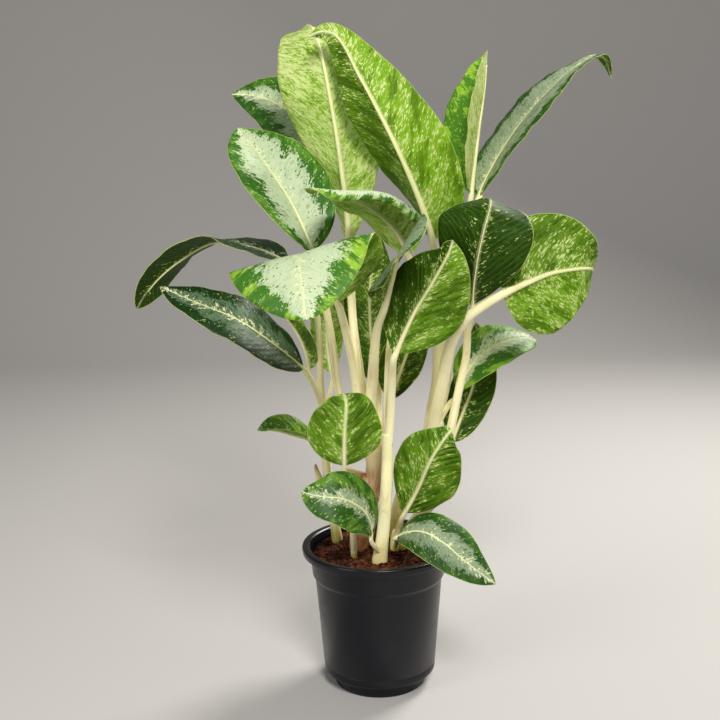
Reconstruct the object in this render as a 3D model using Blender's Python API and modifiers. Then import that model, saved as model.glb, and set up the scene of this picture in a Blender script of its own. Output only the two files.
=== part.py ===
"""A chinese evergreen in a round plastic nursery pot.

Leaf blades stand on pale petioles that sheathe into five thick shoots and two thin ones, which stand
in holes in the soil. Metres, +Z up, with the origin at the centre of the pot's foot. X runs to the
right and Y away from the front. The tables below are in millimetres.
"""

import math
from collections import namedtuple

import bmesh
import bpy
import numpy as np

MM = 0.001

# Pot
POT_HEIGHT = 142.5
RIM_RADIUS = 75.0
RIM_LIP_HEIGHT = 7.5
RIM_OPENING_RADIUS = 68.0
BAND_TOP_RADIUS = 66.8
BAND_BOTTOM_RADIUS = 65.0
STEP_HEIGHT = 112.0
WALL_TOP_RADIUS = 62.6
WALL_BOTTOM_RADIUS = 55.0
WALL_BOTTOM_HEIGHT = 15.0
FOOT_TOP_RADIUS = 47.0
FOOT_RADIUS = 45.0
WALL_THICKNESS = 1.6
FLOOR_THICKNESS = 2.4
ROUND_SEGMENTS = 48
DRAIN_HOLES = 8
DRAIN_RADIUS = 4.0
DRAIN_CIRCLE = 34.0

# Soil and the holes that the shoots stand in
SOIL_EDGE_HEIGHT = 132.0
SOIL_CROWN_HEIGHT = 134.0
HOLE_BOTTOM_HEIGHT = 108.0
HOLE_CLEARANCE = 0.7
CLEARANCE = 0.3

# Blades
BLADE_THICKNESS = 0.9
BLADE_STATIONS = 10
BLADE_ACROSS = (-1.0, -0.5, 0.0, 0.5, 1.0)
ROLLED_ACROSS = (-1.0, -0.8, -0.5, 0.0, 0.5, 0.8, 1.0)
ROLL_START = 0.5
SECTION_STEPS = 24
BASE_HALF_WIDTH = 2.6
TIP_HALF_WIDTH = 1.0
OUTLINE_FULLNESS = 1.42
MARGIN_DROOP = 0.12
RIB_GAP = 0.45
RIB_END_RADIUS = 0.8
RIB_REACH = 0.82
LEAD_IN = 6.0
PETIOLE_STEP = 16.0
CANE_STEP = 14.0

# Colours, as linear red, green and blue
POT_BLACK = (0.017, 0.016, 0.022)
SOIL_BROWN = (0.115, 0.035, 0.016)
STEM_CREAM = (0.78, 0.70, 0.44)
LEAF_GREEN = (0.06, 0.20, 0.04)

Leaf = namedtuple(
    "Leaf",
    "rib width belly face lifts twist wave shoot petiole stalk roll",
    defaults=((0, 0),),
)
# rib: the blade's middle line from its base to its tip. width: the whole blade, flattened across.
# belly: how far along it is widest. face: the way the upper surface looks.
# lifts: how far the halves rise towards that side, in degrees, as the right half at the base and tip,
# then the left half. twist: the turn from base to tip, in degrees.
# wave: height and number of the margin's waves.
# petiole: its middle line from inside the shoot to near the blade. stalk: its radii at both ends.
# roll: how far the right and left margins roll over towards the underside, in degrees.
LEAVES = {
    "leaf_top_pale": Leaf(
        rib=((-23, -15, 440), (-29, -35, 511), (-38, -42, 572), (-46, -34, 612), (-54, -14, 632),
             (-62, 14, 631)),
        width=94, belly=0.6, face=(0.1, 1.0, 0.0), lifts=(62, 4, 16, 54), twist=0, wave=(3, 3),
        shoot="shoot_middle",
        petiole=((-8, 9, 250), (-17, 8, 284), (-19, 5, 326), (-22, 0, 381)), stalk=(4.5, 3.6),
    ),
    "leaf_top_arched": Leaf(
        rib=((52, -38, 444), (41, -60, 477), (19, -78, 527), (-10, -75, 583), (-34, -58, 622),
             (-54, -65, 619)),
        width=88, belly=0.32, face=(0.34, 0.94, 0.0), lifts=(72, 10, 18, 45), twist=0, wave=(2, 3),
        shoot="shoot_back",
        petiole=((66, 34, 345), (65, 30, 378), (60, 5, 412)), stalk=(4.5, 3.6),
    ),
    "leaf_back_left": Leaf(
        rib=((-27, 60, 496), (-53, 75, 532), (-95, 95, 569), (-140, 110, 578)),
        width=74, belly=0.44, face=(0.0, -0.85, 0.5), lifts=(12, 12, 12, 12), twist=0, wave=(2, 2),
        shoot="shoot_middle",
        petiole=((-4, 12, 250), (-11, 20, 282), (-19, 35, 339), (-24, 48, 397), (-25, 55, 445)),
        stalk=(4.5, 3.0),
    ),
    "leaf_upper_left": Leaf(
        rib=((-55, -72, 439), (-74, -52, 480), (-100, -22, 516), (-125, 14, 545)),
        width=84, belly=0.42, face=(0.1, -0.85, 0.5), lifts=(12, 12, 50, 30), twist=0,
        wave=(1.5, 2), shoot="shoot_middle",
        petiole=((-14, 8, 240), (-35, 0, 292), (-41, -10, 345), (-46, -36, 385)), stalk=(4.2, 3.2),
    ),
    "leaf_front_wavy": Leaf(
        rib=((30, -38, 431), (23, -46, 447), (13, -64, 461), (-9, -107, 480), (-34, -140, 491),
             (-57, -160, 497)),
        width=81, belly=0.38, face=(0.0, 0.5, 0.85), lifts=(30, 30, 30, 0), twist=0, wave=(4, 2),
        shoot="shoot_front",
        petiole=((9, -32, 240), (9, -29, 270), (10, -26, 308), (13, -25, 347), (23, -26, 394)),
        stalk=(3.2, 2.6), roll=(0, 130),
    ),
    "leaf_front_edge": Leaf(
        rib=((7, -70, 391), (14, -82, 417), (17, -102, 433), (17, -129, 440), (15, -155, 438)),
        width=84, belly=0.56, face=(-0.6, -0.02, 0.8), lifts=(-4, -10, 40, 4), twist=0, wave=(3, 2),
        shoot="shoot_middle",
        petiole=((-2, 6, 245), (-5, 0, 285), (-3, -12, 311), (-2, -33, 336), (1, -55, 366)),
        stalk=(6.5, 3.4),
    ),
    "leaf_front_drooping": Leaf(
        rib=((-34, -70, 392), (-48, -130, 427), (-60, -180, 447), (-58, -212, 426), (-54, -225, 402)),
        width=122, belly=0.56, face=(-0.3, -0.58, 0.8), lifts=(5, 5, 5, 5), twist=0, wave=(2, 2),
        shoot="shoot_middle",
        petiole=((-10, 4, 245), (-18, -5, 288), (-22, -15, 327), (-28, -32, 361)), stalk=(4.8, 3.4),
    ),
    "leaf_far_left": Leaf(
        rib=((-80, -20, 423), (-113, -5, 436), (-150, 0, 441), (-180, -10, 426), (-204, -15, 406),
             (-221, -20, 382)),
        width=72, belly=0.5, face=(0.0, -0.35, 0.95), lifts=(10, 10, 10, 10), twist=-75,
        wave=(1.5, 2), shoot="shoot_left",
        petiole=((-50, 34, 265), (-54, 30, 292), (-54, 15, 343), (-58, 0, 385)), stalk=(3.6, 2.8),
    ),
    "leaf_left_low": Leaf(
        rib=((-68, -22, 324), (-98, -40, 354), (-126, -50, 376), (-156, -50, 389), (-195, -40, 405)),
        width=62, belly=0.44, face=(0.35, -0.52, 0.76), lifts=(8, 8, 8, 8), twist=0, wave=(1, 3),
        shoot="shoot_left",
        petiole=((-50, 35, 250), (-51, 28, 271), (-57, 6, 295)), stalk=(3.8, 3.0),
    ),
    "leaf_young_folded": Leaf(
        rib=((91, 20, 482), (99, 25, 540), (106, 35, 581), (109, 45, 613)),
        width=76, belly=0.44, face=(-0.98, -0.2, 0.0), lifts=(36, 40, 50, 60), twist=0,
        wave=(0, 1), shoot="shoot_back",
        petiole=((68, 36, 350), (76, 35, 387), (85, 28, 436)), stalk=(4.0, 3.0),
    ),
    "leaf_upper_right": Leaf(
        rib=((100, 30, 478), (122, 50, 516), (161, 80, 563), (205, 110, 599), (232, 120, 611),
             (244, 122, 588)),
        width=72, belly=0.42, face=(-0.6, -0.25, 0.7), lifts=(12, 12, 12, 12), twist=0,
        wave=(1.5, 2), shoot="shoot_back",
        petiole=((70, 39, 345), (80, 42, 397), (91, 36, 445)), stalk=(4.2, 3.2),
    ),
    "leaf_right_rounded": Leaf(
        rib=((86, -60, 387), (87, -88, 428), (92, -96, 456), (98, -86, 474), (101, -58, 480)),
        width=88, belly=0.6, face=(0.0, 1.0, 0.2), lifts=(44, 36, 2, 10), twist=0, wave=(1.5, 2),
        shoot="shoot_right",
        petiole=((70, -5, 252), (79, -12, 302), (84, -22, 332), (84, -40, 363)), stalk=(4.4, 3.2),
    ),
    "leaf_right_broad": Leaf(
        rib=((111, -76, 399), (132, -64, 406), (158, -50, 413), (190, -38, 415), (203, -8, 408)),
        width=112, belly=0.4, face=(-0.2, 1.0, 0.1), lifts=(50, 8, 8, 8), twist=0, wave=(2, 2),
        shoot="shoot_back",
        petiole=((55, 10, 250), (56, 5, 265), (59, -5, 285), (64, -25, 321), (68, -46, 348),
                 (80, -73, 377), (93, -78, 388)),
        stalk=(7.0, 3.8),
    ),
    "leaf_centre": Leaf(
        rib=((17, -68, 346), (34, -82, 386), (48, -91, 411), (62, -93, 437), (66, -87, 447)),
        width=86, belly=0.44, face=(0.0, 0.9, 0.4), lifts=(60, 74, 5, 5), twist=0, wave=(1.5, 2),
        shoot="shoot_front",
        petiole=((10, -32, 250), (13, -36, 293), (14, -50, 319)), stalk=(4.5, 3.2),
    ),
    "leaf_centre_back": Leaf(
        rib=((14, 22, 283), (27, 22, 318), (39, 18, 350), (47, 12, 375)),
        width=48, belly=0.42, face=(-0.3, 0.9, 0.0), lifts=(20, 20, 20, 20), twist=0, wave=(1, 2),
        shoot="shoot_middle",
        petiole=((4, 12, 236), (9, 18, 262)), stalk=(3.4, 2.6),
    ),
    "leaf_inner_left": Leaf(
        rib=((3, 45, 295), (-3, 55, 335), (-4, 62, 385), (5, 60, 443)),
        width=62, belly=0.42, face=(0.2, 0.9, 0.1), lifts=(14, 14, 14, 14), twist=0, wave=(1, 2),
        shoot="shoot_middle",
        petiole=((2, 14, 232), (3, 34, 268)), stalk=(3.4, 2.6),
    ),
    "leaf_lower_right": Leaf(
        rib=((80, 10, 292), (91, 12, 314), (107, 17, 330), (131, 26, 339), (158, 40, 337)),
        width=60, belly=0.54, face=(-0.2, -0.5, 0.85), lifts=(8, 8, 8, 8), twist=0, wave=(1, 2),
        shoot="shoot_back",
        petiole=((57, 26, 250), (63, 20, 262), (72, 14, 279)), stalk=(3.2, 2.6),
    ),
    "leaf_right_back": Leaf(
        rib=((76, 40, 233), (89, 48, 264), (99, 55, 288), (104, 62, 322), (102, 65, 350)),
        width=46, belly=0.42, face=(0.3, 0.9, 0.0), lifts=(10, 10, 10, 10), twist=0, wave=(1, 2),
        shoot="shoot_back",
        petiole=((42, 26, 215), (56, 36, 221), (66, 38, 226)), stalk=(3.0, 2.4),
    ),
    "leaf_small_left": Leaf(
        rib=((-62, 15, 244), (-82, 5, 253), (-98, -5, 260), (-114, -12, 262)),
        width=42, belly=0.42, face=(0.0, -0.35, 1.0), lifts=(38, 38, 38, 38), twist=0, wave=(0, 1),
        shoot="shoot_left",
        petiole=((-51, 38, 220), (-52, 28, 232)), stalk=(2.4, 1.8),
    ),
    "leaf_base_round": Leaf(
        rib=((-31, -50, 237), (-30, -64, 272), (-28, -66, 298), (-31, -50, 305)),
        width=68, belly=0.46, face=(0.0, 0.9, 0.4), lifts=(6, 6, 6, 6), twist=0, wave=(1, 2),
        shoot="shoot_thin_left",
        petiole=((-24, -18, 137), (-25, -24, 170), (-28, -34, 205)), stalk=(3.0, 2.2),
    ),
    "leaf_base_left": Leaf(
        rib=((-6, -50, 168), (-12, -60, 194), (-32, -76, 213), (-52, -80, 217), (-70, -74, 220)),
        width=54, belly=0.5, face=(0.3, -0.8, 0.5), lifts=(6, 6, 6, 6), twist=0, wave=(1, 2),
        shoot="shoot_front",
        petiole=((1, -30, 144), (-3, -40, 152)), stalk=(2.6, 2.0),
    ),
    "leaf_base_right": Leaf(
        rib=((25, -32, 184), (37, -49, 213), (48, -65, 245), (61, -69, 267), (68, -57, 270)),
        width=70, belly=0.44, face=(-0.1, 0.9, 0.4), lifts=(62, 50, 0, 0), twist=0, wave=(1, 2),
        shoot="shoot_thin_right",
        petiole=((16, 0, 137), (18, -8, 155)), stalk=(3.2, 2.4),
    ),
    "leaf_over_rim": Leaf(
        rib=((18, -46, 166), (39, -60, 175), (57, -70, 169), (81, -78, 150), (106, -84, 132)),
        width=54, belly=0.42, face=(0.2, -0.65, 0.75), lifts=(8, 8, 8, 8), twist=0, wave=(1, 2),
        shoot="shoot_thin_right",
        petiole=((16, 0, 138), (18, -16, 150), (17, -32, 158)), stalk=(2.4, 2.0),
    ),
    "leaf_left_narrow": Leaf(
        rib=((-63, 6, 318), (-70, -4, 347), (-86, -16, 375), (-102, -26, 393)),
        width=38, belly=0.42, face=(0.75, 0.05, 0.6), lifts=(40, 40, 40, 40), twist=0, wave=(0, 1),
        shoot="shoot_left",
        petiole=((-52, 33, 262), (-58, 20, 290)), stalk=(2.6, 2.0),
    ),
    "leaf_inner_narrow": Leaf(
        rib=((-44, 59, 302), (-48, 61, 340), (-44, 61, 375), (-39, 59, 411)),
        width=34, belly=0.42, face=(0.0, 0.95, 0.1), lifts=(16, 16, 16, 16), twist=0, wave=(0, 1),
        shoot="shoot_left",
        petiole=((-50, 38, 250), (-48, 50, 275)), stalk=(2.6, 2.0),
    ),
}

# Canes: the middle line from the soil up, and the radius at each point
CANES = {
    "shoot_front": (
        ((1, -30, 137, 7.4), (3, -30, 152, 6.4), (7, -31, 190, 5.8), (9, -32, 225, 5.6),
         (9, -32, 262, 4.4)),
    ),
    "shoot_middle": (
        ((-18, 11, 137, 10.5), (-14, 11, 152, 11.0), (-9, 10, 170, 9.0), (-5, 10, 190, 8.2),
         (-2, 10, 220, 9.0), (-4, 9, 250, 8.5), (-8, 7, 276, 6.0)),
        ((-6, 10, 186, 5.0), (-16, 10, 205, 7.0), (-28, 8, 212, 5.5), (-34, 6, 204, 3.0)),
    ),
    "shoot_left": (
        ((-41, 31, 137, 5.6), (-43, 32, 150, 5.0), (-48, 35, 190, 4.8), (-51, 36, 230, 4.8),
         (-50, 34, 270, 4.2)),
        ((-47, 34, 178, 3.0), (-55, 35, 192, 3.4), (-60, 34, 206, 2.6), (-61, 32, 214, 0.9)),
    ),
    "shoot_right": (
        ((28, 9, 137, 8.0), (32, 8, 150, 7.6), (44, 5, 170, 6.6), (58, 0, 191, 6.4),
         (66, -3, 220, 5.8), (70, -5, 256, 4.8)),
    ),
    "shoot_back": (
        ((17, 42, 137, 8.0), (20, 40, 155, 7.5), (28, 36, 185, 7.0), (42, 26, 215, 7.5),
         (53, 16, 240, 8.0), (56, 9, 262, 7.5)),
        ((50, 20, 232, 6.0), (57, 30, 262, 8.5), (64, 35, 293, 9.5), (66, 36, 328, 9.0),
         (68, 36, 356, 6.0)),
    ),
    "shoot_thin_left": (
        ((-24, -18, 137, 3.0), (-24, -19, 150, 2.8)),
    ),
    "shoot_thin_right": (
        ((16, 1, 137, 4.5), (16, 0, 146, 4.0), (17, -4, 156, 2.4)),
    ),
}


def clear_scene():
    for obj in list(bpy.data.objects):
        bpy.data.objects.remove(obj, do_unlink=True)


def make_collection(name):
    collection = bpy.data.collections.new(name)
    bpy.context.scene.collection.children.link(collection)
    return collection


def make_material(name, colour, roughness):
    material = bpy.data.materials.new(name)
    material.use_nodes = True
    shader = material.node_tree.nodes["Principled BSDF"]
    shader.inputs["Base Color"].default_value = (*colour, 1.0)
    shader.inputs["Roughness"].default_value = roughness
    shader.inputs["Metallic"].default_value = 0.0
    material.diffuse_color = (*colour, 1.0)
    return material


def add_object(name, mesh, material, collection):
    obj = bpy.data.objects.new(name, mesh)
    mesh.materials.clear()
    mesh.materials.append(material)
    collection.objects.link(obj)
    return obj


def shade_round(obj, angle=math.radians(40)):
    obj.data.shade_smooth()
    obj.data.set_sharp_from_angle(angle=angle)


def evaluated_mesh(obj):
    """The object's mesh with its modifiers applied and its doubles merged, in its own space."""
    graph = bpy.context.evaluated_depsgraph_get()
    mesh = bpy.data.meshes.new_from_object(obj.evaluated_get(graph))
    edit = bmesh.new()
    edit.from_mesh(mesh)
    bmesh.ops.remove_doubles(edit, verts=edit.verts, dist=1e-6)
    edit.to_mesh(mesh)
    edit.free()
    return mesh


def turned_mesh(name, profile):
    """A closed body turned about Z from a profile, in millimetres, that runs down its outer side."""
    mesh = bpy.data.meshes.new(name)
    points = [(radius * MM, 0.0, height * MM) for radius, height in profile]
    mesh.from_pydata(points, [(i, i + 1) for i in range(len(points) - 1)], [])
    obj = bpy.data.objects.new(name, mesh)
    bpy.context.scene.collection.objects.link(obj)
    screw = obj.modifiers.new("Turn", "SCREW")
    screw.angle = 2 * math.pi
    screw.steps = ROUND_SEGMENTS
    screw.render_steps = ROUND_SEGMENTS
    screw.use_merge_vertices = True
    screw.merge_threshold = 0.00001
    turned = evaluated_mesh(obj)
    bpy.data.objects.remove(obj, do_unlink=True)
    return turned


def wall_outside(height):
    """The outer radius of the pot's wall below the step."""
    share = (height - WALL_BOTTOM_HEIGHT) / (STEP_HEIGHT - WALL_BOTTOM_HEIGHT)
    return WALL_BOTTOM_RADIUS + share * (WALL_TOP_RADIUS - WALL_BOTTOM_RADIUS)


def inside_profile(clearance):
    """The pot's inner face from the floor's centre up to the mouth, moved in by clearance."""
    inset = WALL_THICKNESS + clearance
    floor = FLOOR_THICKNESS + clearance
    ledge = WALL_BOTTOM_HEIGHT + inset
    return [
        (0.0, floor),
        (FOOT_RADIUS - inset, floor),
        (FOOT_TOP_RADIUS - inset, ledge),
        (WALL_BOTTOM_RADIUS - inset, ledge),
        (wall_outside(STEP_HEIGHT - 1.0) - inset, STEP_HEIGHT - 1.0),
        (BAND_BOTTOM_RADIUS - inset, STEP_HEIGHT + 2.0),
        (BAND_TOP_RADIUS - inset, POT_HEIGHT - RIM_LIP_HEIGHT),
    ]


def outside_profile():
    """The pot's outer face from the mouth over the rim and down to the foot's centre."""
    lip_bottom = POT_HEIGHT - RIM_LIP_HEIGHT
    lip_round = 1.8
    return [
        (RIM_OPENING_RADIUS - 0.8, POT_HEIGHT - 1.6),
        (RIM_OPENING_RADIUS, POT_HEIGHT - 0.4),
        (RIM_OPENING_RADIUS + 1.6, POT_HEIGHT),
        (RIM_RADIUS - lip_round, POT_HEIGHT),
        (RIM_RADIUS - 0.5, POT_HEIGHT - 0.6),
        (RIM_RADIUS, POT_HEIGHT - lip_round),
        (RIM_RADIUS - 0.6, lip_bottom),
        (RIM_RADIUS - 3.0, lip_bottom - 0.4),
        (BAND_TOP_RADIUS, lip_bottom - 2.4),
        (BAND_BOTTOM_RADIUS, STEP_HEIGHT + 1.5),
        (WALL_TOP_RADIUS + 0.9, STEP_HEIGHT),
        (wall_outside(STEP_HEIGHT - 2.0), STEP_HEIGHT - 2.0),
        (WALL_BOTTOM_RADIUS, WALL_BOTTOM_HEIGHT),
        (WALL_BOTTOM_RADIUS - 0.8, WALL_BOTTOM_HEIGHT - 0.8),
        (FOOT_TOP_RADIUS, WALL_BOTTOM_HEIGHT - 0.8),
        (FOOT_RADIUS, 0.8),
        (FOOT_RADIUS - 0.8, 0.0),
        (0.0, 0.0),
    ]


def cylinder_cutter(name, centre, radius, bottom, top, cutters, segments=16):
    mesh = bpy.data.meshes.new(name)
    edit = bmesh.new()
    bmesh.ops.create_cone(
        edit, cap_ends=True, segments=segments, radius1=radius * MM, radius2=radius * MM,
        depth=(top - bottom) * MM,
    )
    edit.to_mesh(mesh)
    edit.free()
    cutter = bpy.data.objects.new(name, mesh)
    cutter.location = (centre[0] * MM, centre[1] * MM, (top + bottom) / 2 * MM)
    cutter.hide_render = True
    cutter.display_type = "WIRE"
    cutters.objects.link(cutter)
    return cutter


def cut_with(obj, cutters):
    for cutter in cutters:
        cut = obj.modifiers.new(cutter.name, "BOOLEAN")
        cut.operation = "DIFFERENCE"
        cut.solver = "EXACT"
        cut.object = cutter


def make_pot(parts, cutters, material):
    mesh = turned_mesh("pot", inside_profile(0.0) + outside_profile())
    pot = add_object("pot", mesh, material, parts)
    shade_round(pot)
    holes = []
    for k in range(DRAIN_HOLES):
        angle = 2 * math.pi * k / DRAIN_HOLES
        centre = (DRAIN_CIRCLE * math.cos(angle), DRAIN_CIRCLE * math.sin(angle))
        name = f"drain_hole_{k + 1}"
        hole = cylinder_cutter(name, centre, DRAIN_RADIUS, -1.0, FLOOR_THICKNESS + 1.0, cutters, 12)
        holes.append(hole)
    cut_with(pot, holes)


def make_soil(parts, cutters, material):
    profile = inside_profile(CLEARANCE)[::-1]
    edge = profile[0][0]
    crown = [(0.0, SOIL_CROWN_HEIGHT), (edge * 0.5, SOIL_CROWN_HEIGHT - 0.4)]
    profile = crown + [(edge - 0.2, SOIL_EDGE_HEIGHT)] + profile[1:]
    soil = add_object("soil", turned_mesh("soil", profile), material, parts)
    shade_round(soil)
    holes = []
    for name, canes in CANES.items():
        x, y, _, radius = canes[0][0]
        hole = cylinder_cutter(
            f"hole_of_{name}", (x, y), radius + HOLE_CLEARANCE, HOLE_BOTTOM_HEIGHT - CLEARANCE,
            SOIL_CROWN_HEIGHT + 2.0, cutters,
        )
        holes.append(hole)
    cut_with(soil, holes)


def smooth_line(points, dense=24):
    """Many points along a cubic curve that passes through the given ones."""
    points = np.asarray(points, float)
    if len(points) == 2:
        return np.linspace(points[0], points[1], dense + 1)
    chords = np.linalg.norm(np.diff(points, axis=0)[:, :3], axis=1)
    times = np.concatenate([[0.0], np.cumsum(np.sqrt(chords))])
    slopes = np.gradient(points, times, axis=0, edge_order=2)
    line = [points[:1]]
    for k in range(len(points) - 1):
        span = times[k + 1] - times[k]
        s = np.linspace(0, 1, dense + 1)[1:, None]
        line.append(
            (2 * s**3 - 3 * s**2 + 1) * points[k]
            + (s**3 - 2 * s**2 + s) * span * slopes[k]
            + (3 * s**2 - 2 * s**3) * points[k + 1]
            + (s**3 - s**2) * span * slopes[k + 1]
        )
    return np.concatenate(line)


def along(line, shares):
    """The points of a dense line at these shares of its length."""
    steps = np.linalg.norm(np.diff(line, axis=0)[:, :3], axis=1)
    length = np.concatenate([[0.0], np.cumsum(steps)])
    wanted = np.asarray(shares) * length[-1]
    return np.stack([np.interp(wanted, length, column) for column in line.T], axis=1)


def length_of(line):
    return float(np.linalg.norm(np.diff(line, axis=0)[:, :3], axis=1).sum())


def unit(vectors):
    return vectors / np.linalg.norm(vectors, axis=-1, keepdims=True)


def blade_stations():
    """Shares along a blade, closer together at its ends."""
    even = np.linspace(0, 1, BLADE_STATIONS + 1)
    return 0.5 * even + 0.25 * (1 - np.cos(np.pi * even))


def half_widths(leaf, shares):
    base = (shares / leaf.belly) ** (OUTLINE_FULLNESS * leaf.belly)
    tip = ((1 - shares) / (1 - leaf.belly)) ** (OUTLINE_FULLNESS * (1 - leaf.belly))
    least = BASE_HALF_WIDTH + (TIP_HALF_WIDTH - BASE_HALF_WIDTH) * shares
    return np.maximum(leaf.width / 2 * base * tip, least)


def carried_normals(ahead, face):
    """The upper side's directions: face at the middle, carried to both ends without turning."""
    normals = np.zeros_like(ahead)
    middle = len(ahead) // 2
    normals[middle] = unit(face - (ahead[middle] @ face) * ahead[middle])
    for k in range(middle + 1, len(ahead)):
        normals[k] = unit(normals[k - 1] - (ahead[k] @ normals[k - 1]) * ahead[k])
    for k in range(middle - 1, -1, -1):
        normals[k] = unit(normals[k + 1] - (ahead[k] @ normals[k + 1]) * ahead[k])
    return normals


def blade_frame(leaf):
    """Points, directions, sides and normals along a blade's middle line."""
    shares = blade_stations()
    points = along(smooth_line(leaf.rib), shares)
    ahead = unit(np.gradient(points, shares, axis=0, edge_order=2))
    normal = carried_normals(ahead, np.asarray(leaf.face, float))
    side = np.cross(ahead, normal)
    turn = np.radians(leaf.twist * shares)[:, None]
    return shares, points, ahead, side * np.cos(turn) + normal * np.sin(turn), (
        normal * np.cos(turn) - side * np.sin(turn)
    )


def section(leaf, shares, half, across):
    """How far out and up from the middle line a blade reaches at one place across."""
    right = across > 0
    at_base, at_tip = leaf.lifts[:2] if right else leaf.lifts[2:]
    fade = np.clip(half / 12.0, 0, 1)
    lift = np.radians(at_base + (at_tip - at_base) * shares) * fade
    places = (np.arange(SECTION_STEPS) + 0.5) / SECTION_STEPS * abs(across)
    rolled = np.clip((places - ROLL_START) / (1 - ROLL_START), 0, 1)
    bend = 2 * MARGIN_DROOP * places + np.radians(leaf.roll[0 if right else 1]) * rolled
    slope = lift[:, None] - bend[None, :] * fade[:, None]
    step = half * abs(across) / SECTION_STEPS
    height, count = leaf.wave
    phase = 0.9 if right else 0.0
    ripple = height * across**2 * np.sin(2 * np.pi * (count * shares + phase)) * fade
    out = np.sign(across) * np.cos(slope).sum(axis=1) * step
    return out, np.sin(slope).sum(axis=1) * step + ripple


def blade_surface(leaf):
    """The blade's middle surface, as a grid of points along and across it."""
    shares, points, _, side, normal = blade_frame(leaf)
    half = half_widths(leaf, shares)
    grid = []
    for across in ROLLED_ACROSS if any(leaf.roll) else BLADE_ACROSS:
        out, rise = section(leaf, shares, half, across)
        grid.append(points + out[:, None] * side + rise[:, None] * normal)
    return np.stack(grid, axis=1)


def blade_mesh(name, grid):
    """A closed blade with alike triangles on both faces. grid runs along, then across."""
    down = np.gradient(grid, axis=0)
    over = np.gradient(grid, axis=1)
    normal = unit(np.cross(over, down)) * BLADE_THICKNESS / 2
    rows, columns = grid.shape[:2]
    points = np.concatenate([(grid + normal).reshape(-1, 3), (grid - normal).reshape(-1, 3)]) * MM
    under = rows * columns
    faces = []
    for i in range(rows - 1):
        for j in range(columns - 1):
            a, b = i * columns + j, i * columns + j + 1
            c, d = b + columns, a + columns
            halves = [(a, b, c), (a, c, d)] if j < columns // 2 else [(a, b, d), (b, c, d)]
            for face in halves:
                faces.append(face)
                faces.append(tuple(under + k for k in reversed(face)))
    edge = [(0, j) for j in range(columns)] + [(i, columns - 1) for i in range(1, rows)]
    edge += [(rows - 1, j) for j in range(columns - 2, -1, -1)] + [(i, 0) for i in range(rows - 2, 0, -1)]
    loop = [i * columns + j for i, j in edge]
    for a, b in zip(loop, loop[1:] + loop[:1]):
        faces.append((b, a, under + a))
        faces.append((b, under + a, under + b))
    mesh = bpy.data.meshes.new(name)
    mesh.from_pydata([tuple(p) for p in points], [], faces)
    edit = bmesh.new()
    edit.from_mesh(mesh)
    bmesh.ops.recalc_face_normals(edit, faces=edit.faces)
    edit.to_mesh(mesh)
    edit.free()
    return mesh


def rib_line(leaf):
    """The raised rib below a blade: points with a radius, just clear of the blade's underside."""
    shares, points, _, _, normal = blade_frame(leaf)
    kept = shares <= RIB_REACH
    radius = leaf.stalk[1] + (RIB_END_RADIUS - leaf.stalk[1]) * (shares / RIB_REACH)
    centres = points - normal * (BLADE_THICKNESS / 2 + RIB_GAP + radius)[:, None]
    return np.column_stack([centres, radius])[kept]


def petiole_line(leaf):
    """A petiole and its rib: points with a radius, from inside the shoot to near the blade's tip."""
    rib = rib_line(leaf)
    _, _, ahead, _, _ = blade_frame(leaf)
    lead_in = rib[0, :3] - ahead[0] * LEAD_IN
    route = np.concatenate([np.asarray(leaf.petiole, float), [lead_in], rib[:1, :3]])
    line = smooth_line(route)
    count = max(3, round(length_of(line) / PETIOLE_STEP))
    shares = np.linspace(0, 1, count + 1)
    points = along(line, shares)
    radius = leaf.stalk[0] + (leaf.stalk[1] - leaf.stalk[0]) * shares
    return np.concatenate([np.column_stack([points, radius])[:-1], rib])


def cane_line(cane):
    """A cane with its foot in the soil where it starts there: points with a radius."""
    line = smooth_line(cane)
    points = along(line, np.linspace(0, 1, max(3, round(length_of(line) / CANE_STEP)) + 1))
    if cane[0][2] > SOIL_CROWN_HEIGHT + 4:
        return points
    foot = np.array(cane[0], float)
    foot[2] = HOLE_BOTTOM_HEIGHT
    return np.concatenate([[foot], points])


def tube_mesh(name, line, resolution):
    """A tube of changing radius, as a closed mesh. line holds points with a radius."""
    curve = bpy.data.curves.new(name, "CURVE")
    curve.dimensions = "3D"
    curve.bevel_depth = MM
    curve.bevel_resolution = resolution
    curve.use_fill_caps = True
    spline = curve.splines.new("POLY")
    spline.points.add(len(line) - 1)
    for point, (x, y, z, radius) in zip(spline.points, line):
        point.co = (x * MM, y * MM, z * MM, 1.0)
        point.radius = radius
    obj = bpy.data.objects.new(name, curve)
    bpy.context.scene.collection.objects.link(obj)
    mesh = evaluated_mesh(obj)
    bpy.data.objects.remove(obj, do_unlink=True)
    return mesh


def make_shoot(name, parts, material):
    """One shoot: its canes and the petioles that leave it, joined in one body."""
    lines = [(cane_line(cane), 3) for cane in CANES[name]]
    lines += [(petiole_line(leaf), 1) for leaf in LEAVES.values() if leaf.shoot == name]
    meshes = [tube_mesh(f"{name}_{k}", line, sides) for k, (line, sides) in enumerate(lines)]
    shoot = add_object(name, meshes[0], material, parts)
    joined = bpy.data.collections.new(f"{name}_pieces")
    for k, mesh in enumerate(meshes[1:]):
        add_object(f"{name}_piece_{k}", mesh, material, joined)
    if len(meshes) > 1:
        join = shoot.modifiers.new("Join", "BOOLEAN")
        join.operation = "UNION"
        join.operand_type = "COLLECTION"
        join.collection = joined
        join.solver = "EXACT"
        shoot.data = evaluated_mesh(shoot)
        shoot.modifiers.clear()
    for obj in list(joined.objects):
        bpy.data.objects.remove(obj, do_unlink=True)
    bpy.data.collections.remove(joined)
    shade_round(shoot)


def make_blade(name, leaf, parts, material):
    blade = add_object(name, blade_mesh(name, blade_surface(leaf)), material, parts)
    shade_round(blade)


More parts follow.
